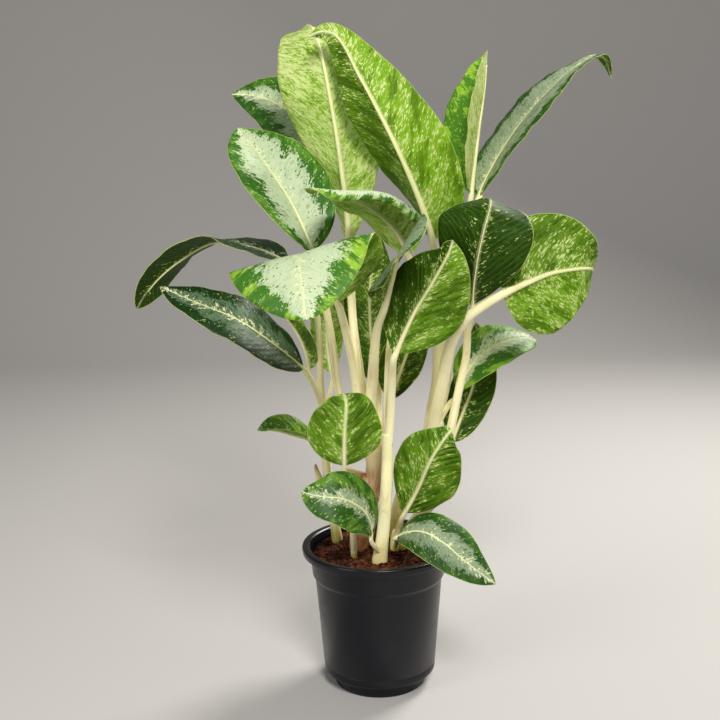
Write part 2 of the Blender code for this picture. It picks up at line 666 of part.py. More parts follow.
def main():
    clear_scene()
    parts = make_collection("potted_chinese_evergreen")
    cutters = make_collection("cutters")
    make_pot(parts, cutters, make_material("pot_plastic", POT_BLACK, 0.38))
    make_soil(parts, cutters, make_material("soil", SOIL_BROWN, 0.95))
    stem_material = make_material("stem", STEM_CREAM, 0.45)
    for name in CANES:
        make_shoot(name, parts, stem_material)
    leaf_material = make_material("leaf", LEAF_GREEN, 0.35)
    for name, leaf in LEAVES.items():
        make_blade(name, leaf, parts, leaf_material)


main()
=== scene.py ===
"""The looks of a potted chinese evergreen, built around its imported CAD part.

Lengths in the tables are in millimetres, in the part's own frame: X runs to the right, Y away from
the front and Z up, with the origin at the centre of the pot's foot.
"""

import math
from collections import namedtuple

import bmesh
import bpy
import numpy as np
from mathutils import Matrix, Vector


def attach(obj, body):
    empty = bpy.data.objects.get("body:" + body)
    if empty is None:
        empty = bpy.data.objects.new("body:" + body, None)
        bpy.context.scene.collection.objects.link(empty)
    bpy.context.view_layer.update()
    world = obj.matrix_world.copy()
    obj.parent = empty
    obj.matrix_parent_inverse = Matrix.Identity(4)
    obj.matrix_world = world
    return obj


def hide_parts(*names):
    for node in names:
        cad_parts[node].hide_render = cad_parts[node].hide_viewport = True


bl_info = {
    "name": "Potted Chinese Evergreen",
    "version": (1, 0, 0),
    "blender": (4, 5, 0),
    "location": "View3D > Sidebar > Evergreen",
    "description": "Builds a potted chinese evergreen with variegated leaves",
    "category": "Add Mesh",
}

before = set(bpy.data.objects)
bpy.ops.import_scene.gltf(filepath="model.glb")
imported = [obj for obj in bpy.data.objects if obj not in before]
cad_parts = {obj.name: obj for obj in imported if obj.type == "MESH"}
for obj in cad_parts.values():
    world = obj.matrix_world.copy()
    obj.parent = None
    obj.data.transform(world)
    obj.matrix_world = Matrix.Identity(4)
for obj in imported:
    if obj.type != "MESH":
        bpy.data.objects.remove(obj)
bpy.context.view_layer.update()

MM = 0.001

# Blades, as in the part
BASE_HALF_WIDTH = 2.6
TIP_HALF_WIDTH = 1.0
OUTLINE_FULLNESS = 1.42
MARGIN_DROOP = 0.12
RIB_REACH = 0.9
LEAD_IN = 6.0
ROLL_START = 0.5
SECTION_STEPS = 24

# Blades, as drawn
BLADE_STATIONS = 112
BLADE_COLUMNS = 36
MIDDLE_THICKNESS = 0.7
MARGIN_THICKNESS = 0.35
VEIN_SLOPE = 1.0
VEIN_SWEEP = 0.006
VEIN_RATE = 0.8

Leaf = namedtuple(
    "Leaf",
    "rib width belly face lifts twist wave shoot petiole stalk roll",
    defaults=((0, 0),),
)
# rib: the blade's middle line from its base to its tip. width: the whole blade, flattened across.
# belly: how far along it is widest. face: the way the upper surface looks.
# lifts: how far the halves rise towards that side, in degrees, as the right half at the base and tip,
# then the left half. twist: the turn from base to tip, in degrees.
# wave: height and number of the margin's waves.
# petiole: its middle line from inside the shoot to near the blade. stalk: its radii at both ends.
# roll: how far the right and left margins roll over towards the underside, in degrees.
LEAVES = {
    "leaf_top_pale": Leaf(
        rib=((-23, -15, 440), (-29, -35, 511), (-38, -42, 572), (-46, -34, 612), (-54, -14, 632),
             (-62, 14, 631)),
        width=94, belly=0.6, face=(0.1, 1.0, 0.0), lifts=(62, 4, 16, 54), twist=0, wave=(3, 3),
        shoot="shoot_middle",
        petiole=((-8, 9, 250), (-17, 8, 284), (-19, 5, 326), (-22, 0, 381)), stalk=(4.5, 3.6),
    ),
    "leaf_top_arched": Leaf(
        rib=((52, -38, 444), (41, -60, 477), (19, -78, 527), (-10, -75, 583), (-34, -58, 622),
             (-54, -65, 619)),
        width=88, belly=0.32, face=(0.34, 0.94, 0.0), lifts=(72, 10, 18, 45), twist=0, wave=(2, 3),
        shoot="shoot_back",
        petiole=((66, 34, 345), (65, 30, 378), (60, 5, 412)), stalk=(4.5, 3.6),
    ),
    "leaf_back_left": Leaf(
        rib=((-27, 60, 496), (-53, 75, 532), (-95, 95, 569), (-140, 110, 578)),
        width=74, belly=0.44, face=(0.0, -0.85, 0.5), lifts=(12, 12, 12, 12), twist=0, wave=(2, 2),
        shoot="shoot_middle",
        petiole=((-4, 12, 250), (-11, 20, 282), (-19, 35, 339), (-24, 48, 397), (-25, 55, 445)),
        stalk=(4.5, 3.0),
    ),
    "leaf_upper_left": Leaf(
        rib=((-55, -72, 439), (-74, -52, 480), (-100, -22, 516), (-125, 14, 545)),
        width=84, belly=0.42, face=(0.1, -0.85, 0.5), lifts=(12, 12, 50, 30), twist=0,
        wave=(1.5, 2), shoot="shoot_middle",
        petiole=((-14, 8, 240), (-35, 0, 292), (-41, -10, 345), (-46, -36, 385)), stalk=(4.2, 3.2),
    ),
    "leaf_front_wavy": Leaf(
        rib=((30, -38, 431), (23, -46, 447), (13, -64, 461), (-9, -107, 480), (-34, -140, 491),
             (-57, -160, 497)),
        width=81, belly=0.38, face=(0.0, 0.5, 0.85), lifts=(30, 30, 30, 0), twist=0, wave=(4, 2),
        shoot="shoot_front",
        petiole=((9, -32, 240), (9, -29, 270), (10, -26, 308), (13, -25, 347), (23, -26, 394)),
        stalk=(3.2, 2.6), roll=(0, 130),
    ),
    "leaf_front_edge": Leaf(
        rib=((7, -70, 391), (14, -82, 417), (17, -102, 433), (17, -129, 440), (15, -155, 438)),
        width=84, belly=0.56, face=(-0.6, -0.02, 0.8), lifts=(-4, -10, 40, 4), twist=0, wave=(3, 2),
        shoot="shoot_middle",
        petiole=((-2, 6, 245), (-5, 0, 285), (-3, -12, 311), (-2, -33, 336), (1, -55, 366)),
        stalk=(6.5, 3.4),
    ),
    "leaf_front_drooping": Leaf(
        rib=((-34, -70, 392), (-48, -130, 427), (-60, -180, 447), (-58, -212, 426), (-54, -225, 402)),
        width=122, belly=0.56, face=(-0.3, -0.58, 0.8), lifts=(5, 5, 5, 5), twist=0, wave=(2, 2),
        shoot="shoot_middle",
        petiole=((-10, 4, 245), (-18, -5, 288), (-22, -15, 327), (-28, -32, 361)), stalk=(4.8, 3.4),
    ),
    "leaf_far_left": Leaf(
        rib=((-80, -20, 423), (-113, -5, 436), (-150, 0, 441), (-180, -10, 426), (-204, -15, 406),
             (-221, -20, 382)),
        width=72, belly=0.5, face=(0.0, -0.35, 0.95), lifts=(10, 10, 10, 10), twist=-75,
        wave=(1.5, 2), shoot="shoot_left",
        petiole=((-50, 34, 265), (-54, 30, 292), (-54, 15, 343), (-58, 0, 385)), stalk=(3.6, 2.8),
    ),
    "leaf_left_low": Leaf(
        rib=((-68, -22, 324), (-98, -40, 354), (-126, -50, 376), (-156, -50, 389), (-195, -40, 405)),
        width=62, belly=0.44, face=(0.35, -0.52, 0.76), lifts=(8, 8, 8, 8), twist=0, wave=(1, 3),
        shoot="shoot_left",
        petiole=((-50, 35, 250), (-51, 28, 271), (-57, 6, 295)), stalk=(3.8, 3.0),
    ),
    "leaf_young_folded": Leaf(
        rib=((91, 20, 482), (99, 25, 540), (106, 35, 581), (109, 45, 613)),
        width=76, belly=0.44, face=(-0.98, -0.2, 0.0), lifts=(36, 40, 50, 60), twist=0,
        wave=(0, 1), shoot="shoot_back",
        petiole=((68, 36, 350), (76, 35, 387), (85, 28, 436)), stalk=(4.0, 3.0),
    ),
    "leaf_upper_right": Leaf(
        rib=((100, 30, 478), (122, 50, 516), (161, 80, 563), (205, 110, 599), (232, 120, 611),
             (244, 122, 588)),
        width=72, belly=0.42, face=(-0.6, -0.25, 0.7), lifts=(12, 12, 12, 12), twist=0,
        wave=(1.5, 2), shoot="shoot_back",
        petiole=((70, 39, 345), (80, 42, 397), (91, 36, 445)), stalk=(4.2, 3.2),
    ),
    "leaf_right_rounded": Leaf(
        rib=((86, -60, 387), (87, -88, 428), (92, -96, 456), (98, -86, 474), (101, -58, 480)),
        width=88, belly=0.6, face=(0.0, 1.0, 0.2), lifts=(44, 36, 2, 10), twist=0, wave=(1.5, 2),
        shoot="shoot_right",
        petiole=((70, -5, 252), (79, -12, 302), (84, -22, 332), (84, -40, 363)), stalk=(4.4, 3.2),
    ),
    "leaf_right_broad": Leaf(
        rib=((111, -76, 399), (132, -64, 406), (158, -50, 413), (190, -38, 415), (203, -8, 408)),
        width=112, belly=0.4, face=(-0.2, 1.0, 0.1), lifts=(50, 8, 8, 8), twist=0, wave=(2, 2),
        shoot="shoot_back",
        petiole=((55, 10, 250), (56, 5, 265), (59, -5, 285), (64, -25, 321), (68, -46, 348),
                 (80, -73, 377), (93, -78, 388)),
        stalk=(7.0, 3.8),
    ),
    "leaf_centre": Leaf(
        rib=((17, -68, 346), (34, -82, 386), (48, -91, 411), (62, -93, 437), (66, -87, 447)),
        width=86, belly=0.44, face=(0.0, 0.9, 0.4), lifts=(60, 74, 5, 5), twist=0, wave=(1.5, 2),
        shoot="shoot_front",
        petiole=((10, -32, 250), (13, -36, 293), (14, -50, 319)), stalk=(4.5, 3.2),
    ),
    "leaf_centre_back": Leaf(
        rib=((14, 22, 283), (27, 22, 318), (39, 18, 350), (47, 12, 375)),
        width=48, belly=0.42, face=(-0.3, 0.9, 0.0), lifts=(20, 20, 20, 20), twist=0, wave=(1, 2),
        shoot="shoot_middle",
        petiole=((4, 12, 236), (9, 18, 262)), stalk=(3.4, 2.6),
    ),
    "leaf_inner_left": Leaf(
        rib=((3, 45, 295), (-3, 55, 335), (-4, 62, 385), (5, 60, 443)),
        width=62, belly=0.42, face=(0.2, 0.9, 0.1), lifts=(14, 14, 14, 14), twist=0, wave=(1, 2),
        shoot="shoot_middle",
        petiole=((2, 14, 232), (3, 34, 268)), stalk=(3.4, 2.6),
    ),
    "leaf_lower_right": Leaf(
        rib=((80, 10, 292), (91, 12, 314), (107, 17, 330), (131, 26, 339), (158, 40, 337)),
        width=60, belly=0.54, face=(-0.2, -0.5, 0.85), lifts=(8, 8, 8, 8), twist=0, wave=(1, 2),
        shoot="shoot_back",
        petiole=((57, 26, 250), (63, 20, 262), (72, 14, 279)), stalk=(3.2, 2.6),
    ),
    "leaf_right_back": Leaf(
        rib=((76, 40, 233), (89, 48, 264), (99, 55, 288), (104, 62, 322), (102, 65, 350)),
        width=46, belly=0.42, face=(0.3, 0.9, 0.0), lifts=(10, 10, 10, 10), twist=0, wave=(1, 2),
        shoot="shoot_back",
        petiole=((42, 26, 215), (56, 36, 221), (66, 38, 226)), stalk=(3.0, 2.4),
    ),
    "leaf_small_left": Leaf(
        rib=((-62, 15, 244), (-82, 5, 253), (-98, -5, 260), (-114, -12, 262)),
        width=42, belly=0.42, face=(0.0, -0.35, 1.0), lifts=(38, 38, 38, 38), twist=0, wave=(0, 1),
        shoot="shoot_left",
        petiole=((-51, 38, 220), (-52, 28, 232)), stalk=(2.4, 1.8),
    ),
    "leaf_base_round": Leaf(
        rib=((-31, -50, 237), (-30, -64, 272), (-28, -66, 298), (-31, -50, 305)),
        width=68, belly=0.46, face=(0.0, 0.9, 0.4), lifts=(6, 6, 6, 6), twist=0, wave=(1, 2),
        shoot="shoot_thin_left",
        petiole=((-24, -18, 137), (-25, -24, 170), (-28, -34, 205)), stalk=(3.0, 2.2),
    ),
    "leaf_base_left": Leaf(
        rib=((-6, -50, 168), (-12, -60, 194), (-32, -76, 213), (-52, -80, 217), (-70, -74, 220)),
        width=54, belly=0.5, face=(0.3, -0.8, 0.5), lifts=(6, 6, 6, 6), twist=0, wave=(1, 2),
        shoot="shoot_front",
        petiole=((1, -30, 144), (-3, -40, 152)), stalk=(2.6, 2.0),
    ),
    "leaf_base_right": Leaf(
        rib=((25, -32, 184), (37, -49, 213), (48, -65, 245), (61, -69, 267), (68, -57, 270)),
        width=70, belly=0.44, face=(-0.1, 0.9, 0.4), lifts=(62, 50, 0, 0), twist=0, wave=(1, 2),
        shoot="shoot_thin_right",
        petiole=((16, 0, 137), (18, -8, 155)), stalk=(3.2, 2.4),
    ),
    "leaf_over_rim": Leaf(
        rib=((18, -46, 166), (39, -60, 175), (57, -70, 169), (81, -78, 150), (106, -84, 132)),
        width=54, belly=0.42, face=(0.2, -0.65, 0.75), lifts=(8, 8, 8, 8), twist=0, wave=(1, 2),
        shoot="shoot_thin_right",
        petiole=((16, 0, 138), (18, -16, 150), (17, -32, 158)), stalk=(2.4, 2.0),
    ),
    "leaf_left_narrow": Leaf(
        rib=((-63, 6, 318), (-70, -4, 347), (-86, -16, 375), (-102, -26, 393)),
        width=38, belly=0.42, face=(0.75, 0.05, 0.6), lifts=(40, 40, 40, 40), twist=0, wave=(0, 1),
        shoot="shoot_left",
        petiole=((-52, 33, 262), (-58, 20, 290)), stalk=(2.6, 2.0),
    ),
    "leaf_inner_narrow": Leaf(
        rib=((-44, 59, 302), (-48, 61, 340), (-44, 61, 375), (-39, 59, 411)),
        width=34, belly=0.42, face=(0.0, 0.95, 0.1), lifts=(16, 16, 16, 16), twist=0, wave=(0, 1),
        shoot="shoot_left",
        petiole=((-50, 38, 250), (-48, 50, 275)), stalk=(2.6, 2.0),
    ),
}

# Canes: the middle line from the soil up, and the radius at each point
CANES = {
    "shoot_front": (
        ((1, -30, 137, 7.4), (3, -30, 152, 6.4), (7, -31, 190, 5.8), (9, -32, 225, 5.6),
         (9, -32, 262, 4.4)),
    ),
    "shoot_middle": (
        ((-18, 11, 137, 10.5), (-14, 11, 152, 11.0), (-9, 10, 170, 9.0), (-5, 10, 190, 8.2),
         (-2, 10, 220, 9.0), (-4, 9, 250, 8.5), (-8, 7, 276, 6.0)),
        ((-6, 10, 186, 5.0), (-16, 10, 205, 7.0), (-28, 8, 212, 5.5), (-34, 6, 204, 3.0)),
    ),
    "shoot_left": (
        ((-41, 31, 137, 5.6), (-43, 32, 150, 5.0), (-48, 35, 190, 4.8), (-51, 36, 230, 4.8),
         (-50, 34, 270, 4.2)),
        ((-47, 34, 178, 3.0), (-55, 35, 192, 3.4), (-60, 34, 206, 2.6), (-61, 32, 214, 0.9)),
    ),
    "shoot_right": (
        ((28, 9, 137, 8.0), (32, 8, 150, 7.6), (44, 5, 170, 6.6), (58, 0, 191, 6.4),
         (66, -3, 220, 5.8), (70, -5, 256, 4.8)),
    ),
    "shoot_back": (
        ((17, 42, 137, 8.0), (20, 40, 155, 7.5), (28, 36, 185, 7.0), (42, 26, 215, 7.5),
         (53, 16, 240, 8.0), (56, 9, 262, 7.5)),
        ((50, 20, 232, 6.0), (57, 30, 262, 8.5), (64, 35, 293, 9.5), (66, 36, 328, 9.0),
         (68, 36, 356, 6.0)),
    ),
    "shoot_thin_left": (
        ((-24, -18, 137, 3.0), (-24, -19, 150, 2.8)),
    ),
    "shoot_thin_right": (
        ((16, 1, 137, 4.5), (16, 0, 146, 4.0), (17, -4, 156, 2.4)),
    ),
}


# Noise over a blade: how fast it varies across the side veins and along them, per millimetre, its
# detail and its distortion. Then the cells of the flecks, in the same two directions.
NOISE_SIZES = ((0.05, 0.04, 1.0, 0.3), (0.14, 0.1, 3.0, 0.6), (0.46, 0.32, 3.0, 0.8))
CELL_SIZES = ((0.48, 0.4), (1.2, 0.95))

# Looks of each blade: how far the silver reaches towards the margin, how much cream is in the
# underside, how yellow the greens are, how dark they are on the plus and on the minus half, the
# height of the quilting between veins, and the share of its full thickness that the rib has. The
# darkness is partly the blade's own deep green and partly painted shade, higher on a half that
# turns away from the light or lies in another blade's shadow.
Look = namedtuple("Look", "silver cream yellow dark quilt rib")
LOOKS = {
    "leaf_top_pale": Look(0.7, 0.72, 0.5, (0.0, 0.0), 0.25, 0.9),
    "leaf_top_arched": Look(0.6, 0.25, 0.9, (0.6, 0.05), 0.3, 0.9),
    "leaf_back_left": Look(0.5, 0.3, 0.1, (0.4, 0.6), 0.15, 0.9),
    "leaf_upper_left": Look(0.62, 0.3, 0.2, (0.22, 0.16), 0.15, 0.8),
    "leaf_front_wavy": Look(0.85, 0.55, 1.0, (0.0, 0.0), 0.3, 0.9),
    "leaf_front_edge": Look(0.95, 0.3, 0.1, (0.7, 0.6), 0.3, 0.9),
    "leaf_front_drooping": Look(0.6, 0.3, 1.2, (0.15, 0.1), 0.15, 0.8),
    "leaf_far_left": Look(0.28, 0.02, 0.1, (1.0, 1.0), 0.3, 0.8),
    "leaf_left_low": Look(0.62, 0.3, 0.1, (1.0, 1.0), 0.15, 0.8),
    "leaf_young_folded": Look(-0.1, 0.75, 1.6, (0.0, 0.0), 0.15, 0.8),
    "leaf_upper_right": Look(0.76, 0.2, 0.15, (0.55, 0.55), 0.12, 0.8),
    "leaf_right_rounded": Look(0.6, 0.08, 0.5, (1.0, 1.0), 0.25, 0.3),
    "leaf_right_broad": Look(0.6, 0.3, 0.6, (0.55, 0.0), 0.35, 0.9),
    "leaf_centre": Look(0.6, 0.2, 0.35, (0.85, 0.2), 1.1, 0.75),
    "leaf_centre_back": Look(0.6, 0.22, 0.3, (0.8, 0.9), 0.5, 0.8),
    "leaf_inner_left": Look(0.5, 0.25, 0.2, (0.7, 0.7), 0.3, 0.8),
    "leaf_lower_right": Look(0.4, 0.3, 0.9, (0.3, 0.1), 0.12, 0.8),
    "leaf_right_back": Look(0.5, 0.18, 0.2, (0.95, 0.95), 0.4, 0.8),
    "leaf_small_left": Look(-0.6, 0.0, 2.0, (0.0, 0.0), 0.4, 0.8),
    "leaf_base_round": Look(0.5, 0.22, 0.5, (0.15, 0.3), 1.5, 0.8),
    "leaf_base_left": Look(0.28, 0.3, 0.6, (0.55, 0.6), 0.2, 0.8),
    "leaf_base_right": Look(0.5, 0.2, 0.4, (0.35, 0.45), 1.2, 0.8),
    "leaf_over_rim": Look(0.56, 0.3, 0.2, (0.8, 0.7), 0.15, 0.8),
    "leaf_left_narrow": Look(0.3, 0.2, 0.45, (0.3, 0.5), 0.2, 0.8),
    "leaf_inner_narrow": Look(0.4, 0.4, 0.5, (0.1, 0.1), 0.2, 0.8),
}


class Value:
    """A socket that Python's operators work on: each adds a Math node."""

    def __init__(self, tree, socket):
        self.tree = tree
        self.socket = socket

    def maths(self, operation, *terms):
        node = self.tree.nodes.new("ShaderNodeMath")
        node.operation = operation
        for slot, term in zip(node.inputs, terms):
            if isinstance(term, Value):
                self.tree.links.new(term.socket, slot)
            else:
                slot.default_value = term
        return Value(self.tree, node.outputs[0])

    def __add__(self, other):
        return self.maths("ADD", self, other)

    def __sub__(self, other):
        return self.maths("SUBTRACT", self, other)

    def __mul__(self, other):
        return self.maths("MULTIPLY", self, other)

    def __truediv__(self, other):
        return self.maths("DIVIDE", self, other)

    def __pow__(self, other):
        return self.maths("POWER", self, other)

    def __radd__(self, other):
        return self.maths("ADD", other, self)

    def __rsub__(self, other):
        return self.maths("SUBTRACT", other, self)

    def __rmul__(self, other):
        return self.maths("MULTIPLY", other, self)

    def __rtruediv__(self, other):
        return self.maths("DIVIDE", other, self)

    def limited(self):
        node = self.maths("ADD", self, 0.0)
        node.socket.node.use_clamp = True
        return node


class Finish:
    """A material whose nodes are made by one method."""

    def __init__(self, name):
        self.material = bpy.data.materials.new(name)
        self.material.use_nodes = True
        self.tree = self.material.node_tree
        self.shader = self.tree.nodes["Principled BSDF"]

    def node(self, kind, settings=None, inputs=None, output=0):
        made = self.tree.nodes.new("ShaderNode" + kind)
        for name, value in (settings or {}).items():
            setattr(made, name, value)
        for name, value in (inputs or {}).items():
            self.feed(made.inputs[name], value)
        return Value(self.tree, made.outputs[output])

    def feed(self, slot, value):
        if isinstance(value, Value):
            self.tree.links.new(value.socket, slot)
        elif isinstance(value, tuple) and len(value) == 3 and slot.type == "RGBA":
            slot.default_value = (*value, 1.0)
        else:
            slot.default_value = value

    def set(self, **values):
        for name, value in values.items():
            self.feed(self.shader.inputs[name.replace("_", " ")], value)

    def attribute(self, name):
        """The three numbers of a vector attribute."""
        vector = self.node("Attribute", {"attribute_name": name}, output=1)
        return vector, self.parts(vector)

    def parts(self, vector):
        split = self.node("SeparateXYZ", inputs={"Vector": vector}).socket.node
        return [Value(self.tree, socket) for socket in split.outputs]

    def vector(self, x, y, z):
        return self.node("CombineXYZ", inputs={"X": x, "Y": y, "Z": z})

    def noise(self, vector, scale, detail=2.0, roughness=0.5, distortion=0.0):
        return self.node(
            "TexNoise", {"noise_dimensions": "3D"},
            {"Vector": vector, "Scale": scale, "Detail": detail, "Roughness": roughness,
             "Distortion": distortion},
        )

    def cells(self, vector):
        """A random number from -0.5 to 0.5 in each cell."""
        colour = self.node(
            "TexVoronoi", {"voronoi_dimensions": "3D"}, {"Vector": vector, "Scale": 1.0}, output=1
        )
        return self.parts(colour)[0] - 0.5

    def ramp(self, value, low, high):
        """0 below low, 1 above high, and smooth between them. Either may be a value."""
        return self.node(
            "MapRange", {"interpolation_type": "SMOOTHSTEP"},
            {"Value": value, "From Min": low, "From Max": high},
        )

    def mix(self, share, first, second):
        """The first colour where share is 0, the second where it is 1."""
        made = self.tree.nodes.new("ShaderNodeMix")
        made.data_type = "RGBA"
        self.feed(made.inputs[0], share)
        self.feed(made.inputs[6], first)
        self.feed(made.inputs[7], second)
        return Value(self.tree, made.outputs[2])

    def bump(self, height, strength, distance):
        return self.node(
            "Bump", inputs={"Height": height, "Strength": strength, "Distance": distance}
        )

    def let_light_through(self, share, colour):
        """Mixes in a translucent shader, so that the sheet glows where it is lit from behind."""
        glow = self.node("BsdfTranslucent", inputs={"Color": colour})
        mixed = self.tree.nodes.new("ShaderNodeMixShader")
        self.feed(mixed.inputs[0], share)
        self.tree.links.new(self.shader.outputs[0], mixed.inputs[1])
        self.tree.links.new(glow.socket, mixed.inputs[2])
        out = self.tree.nodes["Material Output"]
        self.tree.links.new(mixed.outputs[0], out.inputs["Surface"])


def vein_noises(finish, across_vein, from_rib, seed, stretch, lean):
    """Broad lobes, tongues and teeth of noise, then random flecks and grains in ragged cells. They
    lean as far as a share of the side veins' slant. Each is about 0 in the middle."""
    slant = from_rib * VEIN_SLOPE + from_rib * from_rib * VEIN_SWEEP
    across_vein = across_vein + slant * (1 - lean)
    made = []
    for k, (rate_over, rate_along, detail, distortion) in enumerate(NOISE_SIZES):
        space = finish.vector(across_vein * rate_over, from_rib * rate_along, seed + 7.0 * k)
        made.append(finish.noise(space, 1.0, detail, 0.68, distortion) - 0.5)
    ragged = made[-1]
    for k, (rate_over, rate_along) in enumerate(CELL_SIZES):
        space = finish.vector(
            across_vein * rate_over + ragged * 2.2,
            from_rib * (rate_along / stretch) - ragged * 1.6,
            seed + 31.0 * k,
        )
        made.append(finish.cells(space))
    return made


def leaf_top_finish(colours):
    """The upper side: a silver middle with a ragged border in dark green, flecked both ways."""
    finish = Finish("leaf_top")
    _, (across_vein, from_rib, seed) = finish.attribute("vein")
    _, (from_margin, spread, share) = finish.attribute("place")
    _, (silver, yellow, dark) = finish.attribute("top_look")
    lobes, tongues, teeth, flecks, grains = vein_noises(finish, across_vein, from_rib, seed, 1.3, 0.6)
    narrowing = finish.ramp(share, 0.72, 1.0) * 0.2 + (1 - finish.ramp(share, 0.0, 0.12)) * 0.25
    border = silver - spread - narrowing + lobes * 0.7 + tongues * 0.8 + teeth * 0.3
    in_silver = finish.ramp(border + flecks * 0.15 + grains * 0.07, -0.004, 0.008)
    near_border = 1 - finish.ramp(border.maths("ABSOLUTE", border), 0.0, 0.3)
    holes = finish.ramp(near_border * 0.06 + lobes * 0.2 - grains, 0.475, 0.485)
    specks = finish.ramp(grains + near_border * 0.04 + tongues * 0.25 + yellow * 0.02, 0.475, 0.485)
    sunny = finish.ramp(tongues + lobes - from_margin * 0.008, -0.1, 0.1)
    # Painted shade, partly the blade's own deep green: darkness turns the margin towards deep green.
    green = finish.mix(dark, colours.margin_green, colours.deep_green)
    green = finish.mix((sunny * 0.6 + yellow * 0.3) * (1 - dark), green, colours.fresh_green)
    green = finish.mix(sunny * yellow * (1 - dark) * 0.8, green, colours.lime)
    green = finish.mix((flecks + 0.5) * 0.22 * (1 - dark * 0.7), green, colours.fresh_green)
    green = finish.mix(specks * (0.8 - dark * 0.3), green, colours.fleck)
    # Painted shade, partly the blade's own darker silver: darkness turns the silver and the mint towards their dark
    # copies and strengthens the deep green mottles below.
    silver_tone = finish.mix(dark, colours.silver, colours.silver_shade)
    mint = finish.mix(dark, colours.mint, colours.mint_shade)
    hazy = finish.ramp(tongues + teeth * 0.6 + grains * 0.06, -0.04, 0.16) * 0.45 + near_border * 0.1
    silver_tone = finish.mix(hazy, silver_tone, mint)
    mottled = finish.ramp(tongues * 0.8 + flecks * 0.3 + grains * 0.2, 0.1, 0.12) * dark * 0.75
    silver_tone = finish.mix(mottled, silver_tone, colours.deep_green)
    colour = finish.mix(in_silver * (1 - holes), green, silver_tone)
    flames = finish.ramp(flecks + grains * 0.4 + tongues * 0.6 - from_rib * 0.045, 0.18, 0.19)
    colour = finish.mix(flames * 0.7, colour, colours.cream)
    rib_width = 1.25 - share * 0.9 + teeth * 1.2
    rib = 1 - finish.ramp(from_rib, rib_width * 0.6, rib_width)
    colour = finish.mix(rib * 0.9, colour, colours.cream)
    colour = finish.mix((1 - finish.ramp(from_margin, 0.15, 0.55)) * 0.8, colour, colours.edge)
    ridges = (across_vein * VEIN_RATE).maths("SINE", across_vein * VEIN_RATE + tongues * 4.0)
    finish.set(
        Base_Color=colour,
        Roughness=0.45 + lobes * 0.2,
        Normal=finish.bump(ridges * 0.25 + teeth * 0.8, 0.2, 0.0006),
    )
    finish.shader.inputs["Specular IOR Level"].default_value = 0.22
    finish.let_light_through(0.2 - dark * 0.12, colours.glow)
    return finish.material


def leaf_under_finish(colours):
    """The underside: green with cream streaks and flecks along the side veins."""
    finish = Finish("leaf_under")
    _, (across_vein, from_rib, seed) = finish.attribute("vein")
    _, (from_margin, _, share) = finish.attribute("place")
    _, (cream, yellow, dark) = finish.attribute("under_look")
    seed = seed + 11.0
    lobes, tongues, teeth, flecks, grains = vein_noises(finish, across_vein, from_rib, seed, 1.8, 0.8)
    near_rib = 1 - finish.ramp(from_rib, 1.0, 12.0)
    varied = (lobes + tongues * 1.1 + teeth * 0.5) * (0.6 + cream)
    broad = varied + near_rib * 0.12 + cream * 0.9 - 0.07 - from_rib * dark * 0.004
    clouds = finish.ramp(broad, 0.02, 0.4)
    blotches = finish.ramp(broad * 0.9 + flecks * 0.9 + grains * 0.2, 0.6, 0.62)
    specks = finish.ramp(broad * 0.8 + grains + flecks * 0.1, 0.5, 0.52)
    green = finish.mix(yellow, colours.under_green, colours.under_lime)
    # Painted shade, partly the blade's own darker green: darkness turns the underside towards its dark green.
    green = finish.mix(dark, green, colours.under_dark)
    green = finish.mix(finish.ramp(lobes, -0.02, 0.12) * 0.4 * (1 - dark), green, colours.under_lime)
    green = finish.mix(finish.ramp(lobes + tongues, -0.02, -0.16) * 0.6, green, colours.under_dark)
    pale_green = finish.mix(dark, colours.under_pale, colours.under_green)
    green = finish.mix((flecks + 0.5) * (grains + 0.5) * 0.35, green, pale_green)
    bright = finish.mix(dark * 0.4, colours.under_cream, colours.under_pale)
    colour = finish.mix(clouds * (0.25 + cream * 0.75), green, pale_green)
    colour = finish.mix(blotches * (0.4 + cream * 0.6), colour, bright)
    colour = finish.mix(specks * 0.85, colour, bright)
    # Pale lines along the side veins: partly their own paler colour, partly a painted highlight on the raised
    # ridges, stronger on the darker blades.
    side_vein = (across_vein * VEIN_RATE).maths("SINE", across_vein * VEIN_RATE + tongues * 2.0)
    colour = finish.mix(finish.ramp(side_vein, 0.9, 1.0) * (0.2 + dark * 0.3), colour, pale_green)
    # Painted shade in the hollows between the raised side veins, darker where the quilting is deeper.
    _, (relief, _, _) = finish.attribute("relief")
    colour = finish.mix(finish.ramp(relief, 0.15, 1.3) * 0.62, colour, colours.under_dark)
    colour = finish.mix((1 - finish.ramp(from_margin, 0.2, 0.8)) * 0.75, colour, colours.edge)
    beside_rib = (1 - finish.ramp(from_rib, 1.0, 3.6 - share * 2.0)) * (0.75 - dark * 0.55)
    colour = finish.mix(beside_rib, colour, colours.cream)
    finish.set(
        Base_Color=colour,
        Roughness=0.55 + lobes * 0.2,
        Normal=finish.bump(side_vein * 0.5 + teeth, 0.25, 0.0007),
    )
    finish.shader.inputs["Specular IOR Level"].default_value = 0.09
    finish.let_light_through(0.24 + cream * 0.2 - dark * 0.2, colours.glow)
    return finish.material


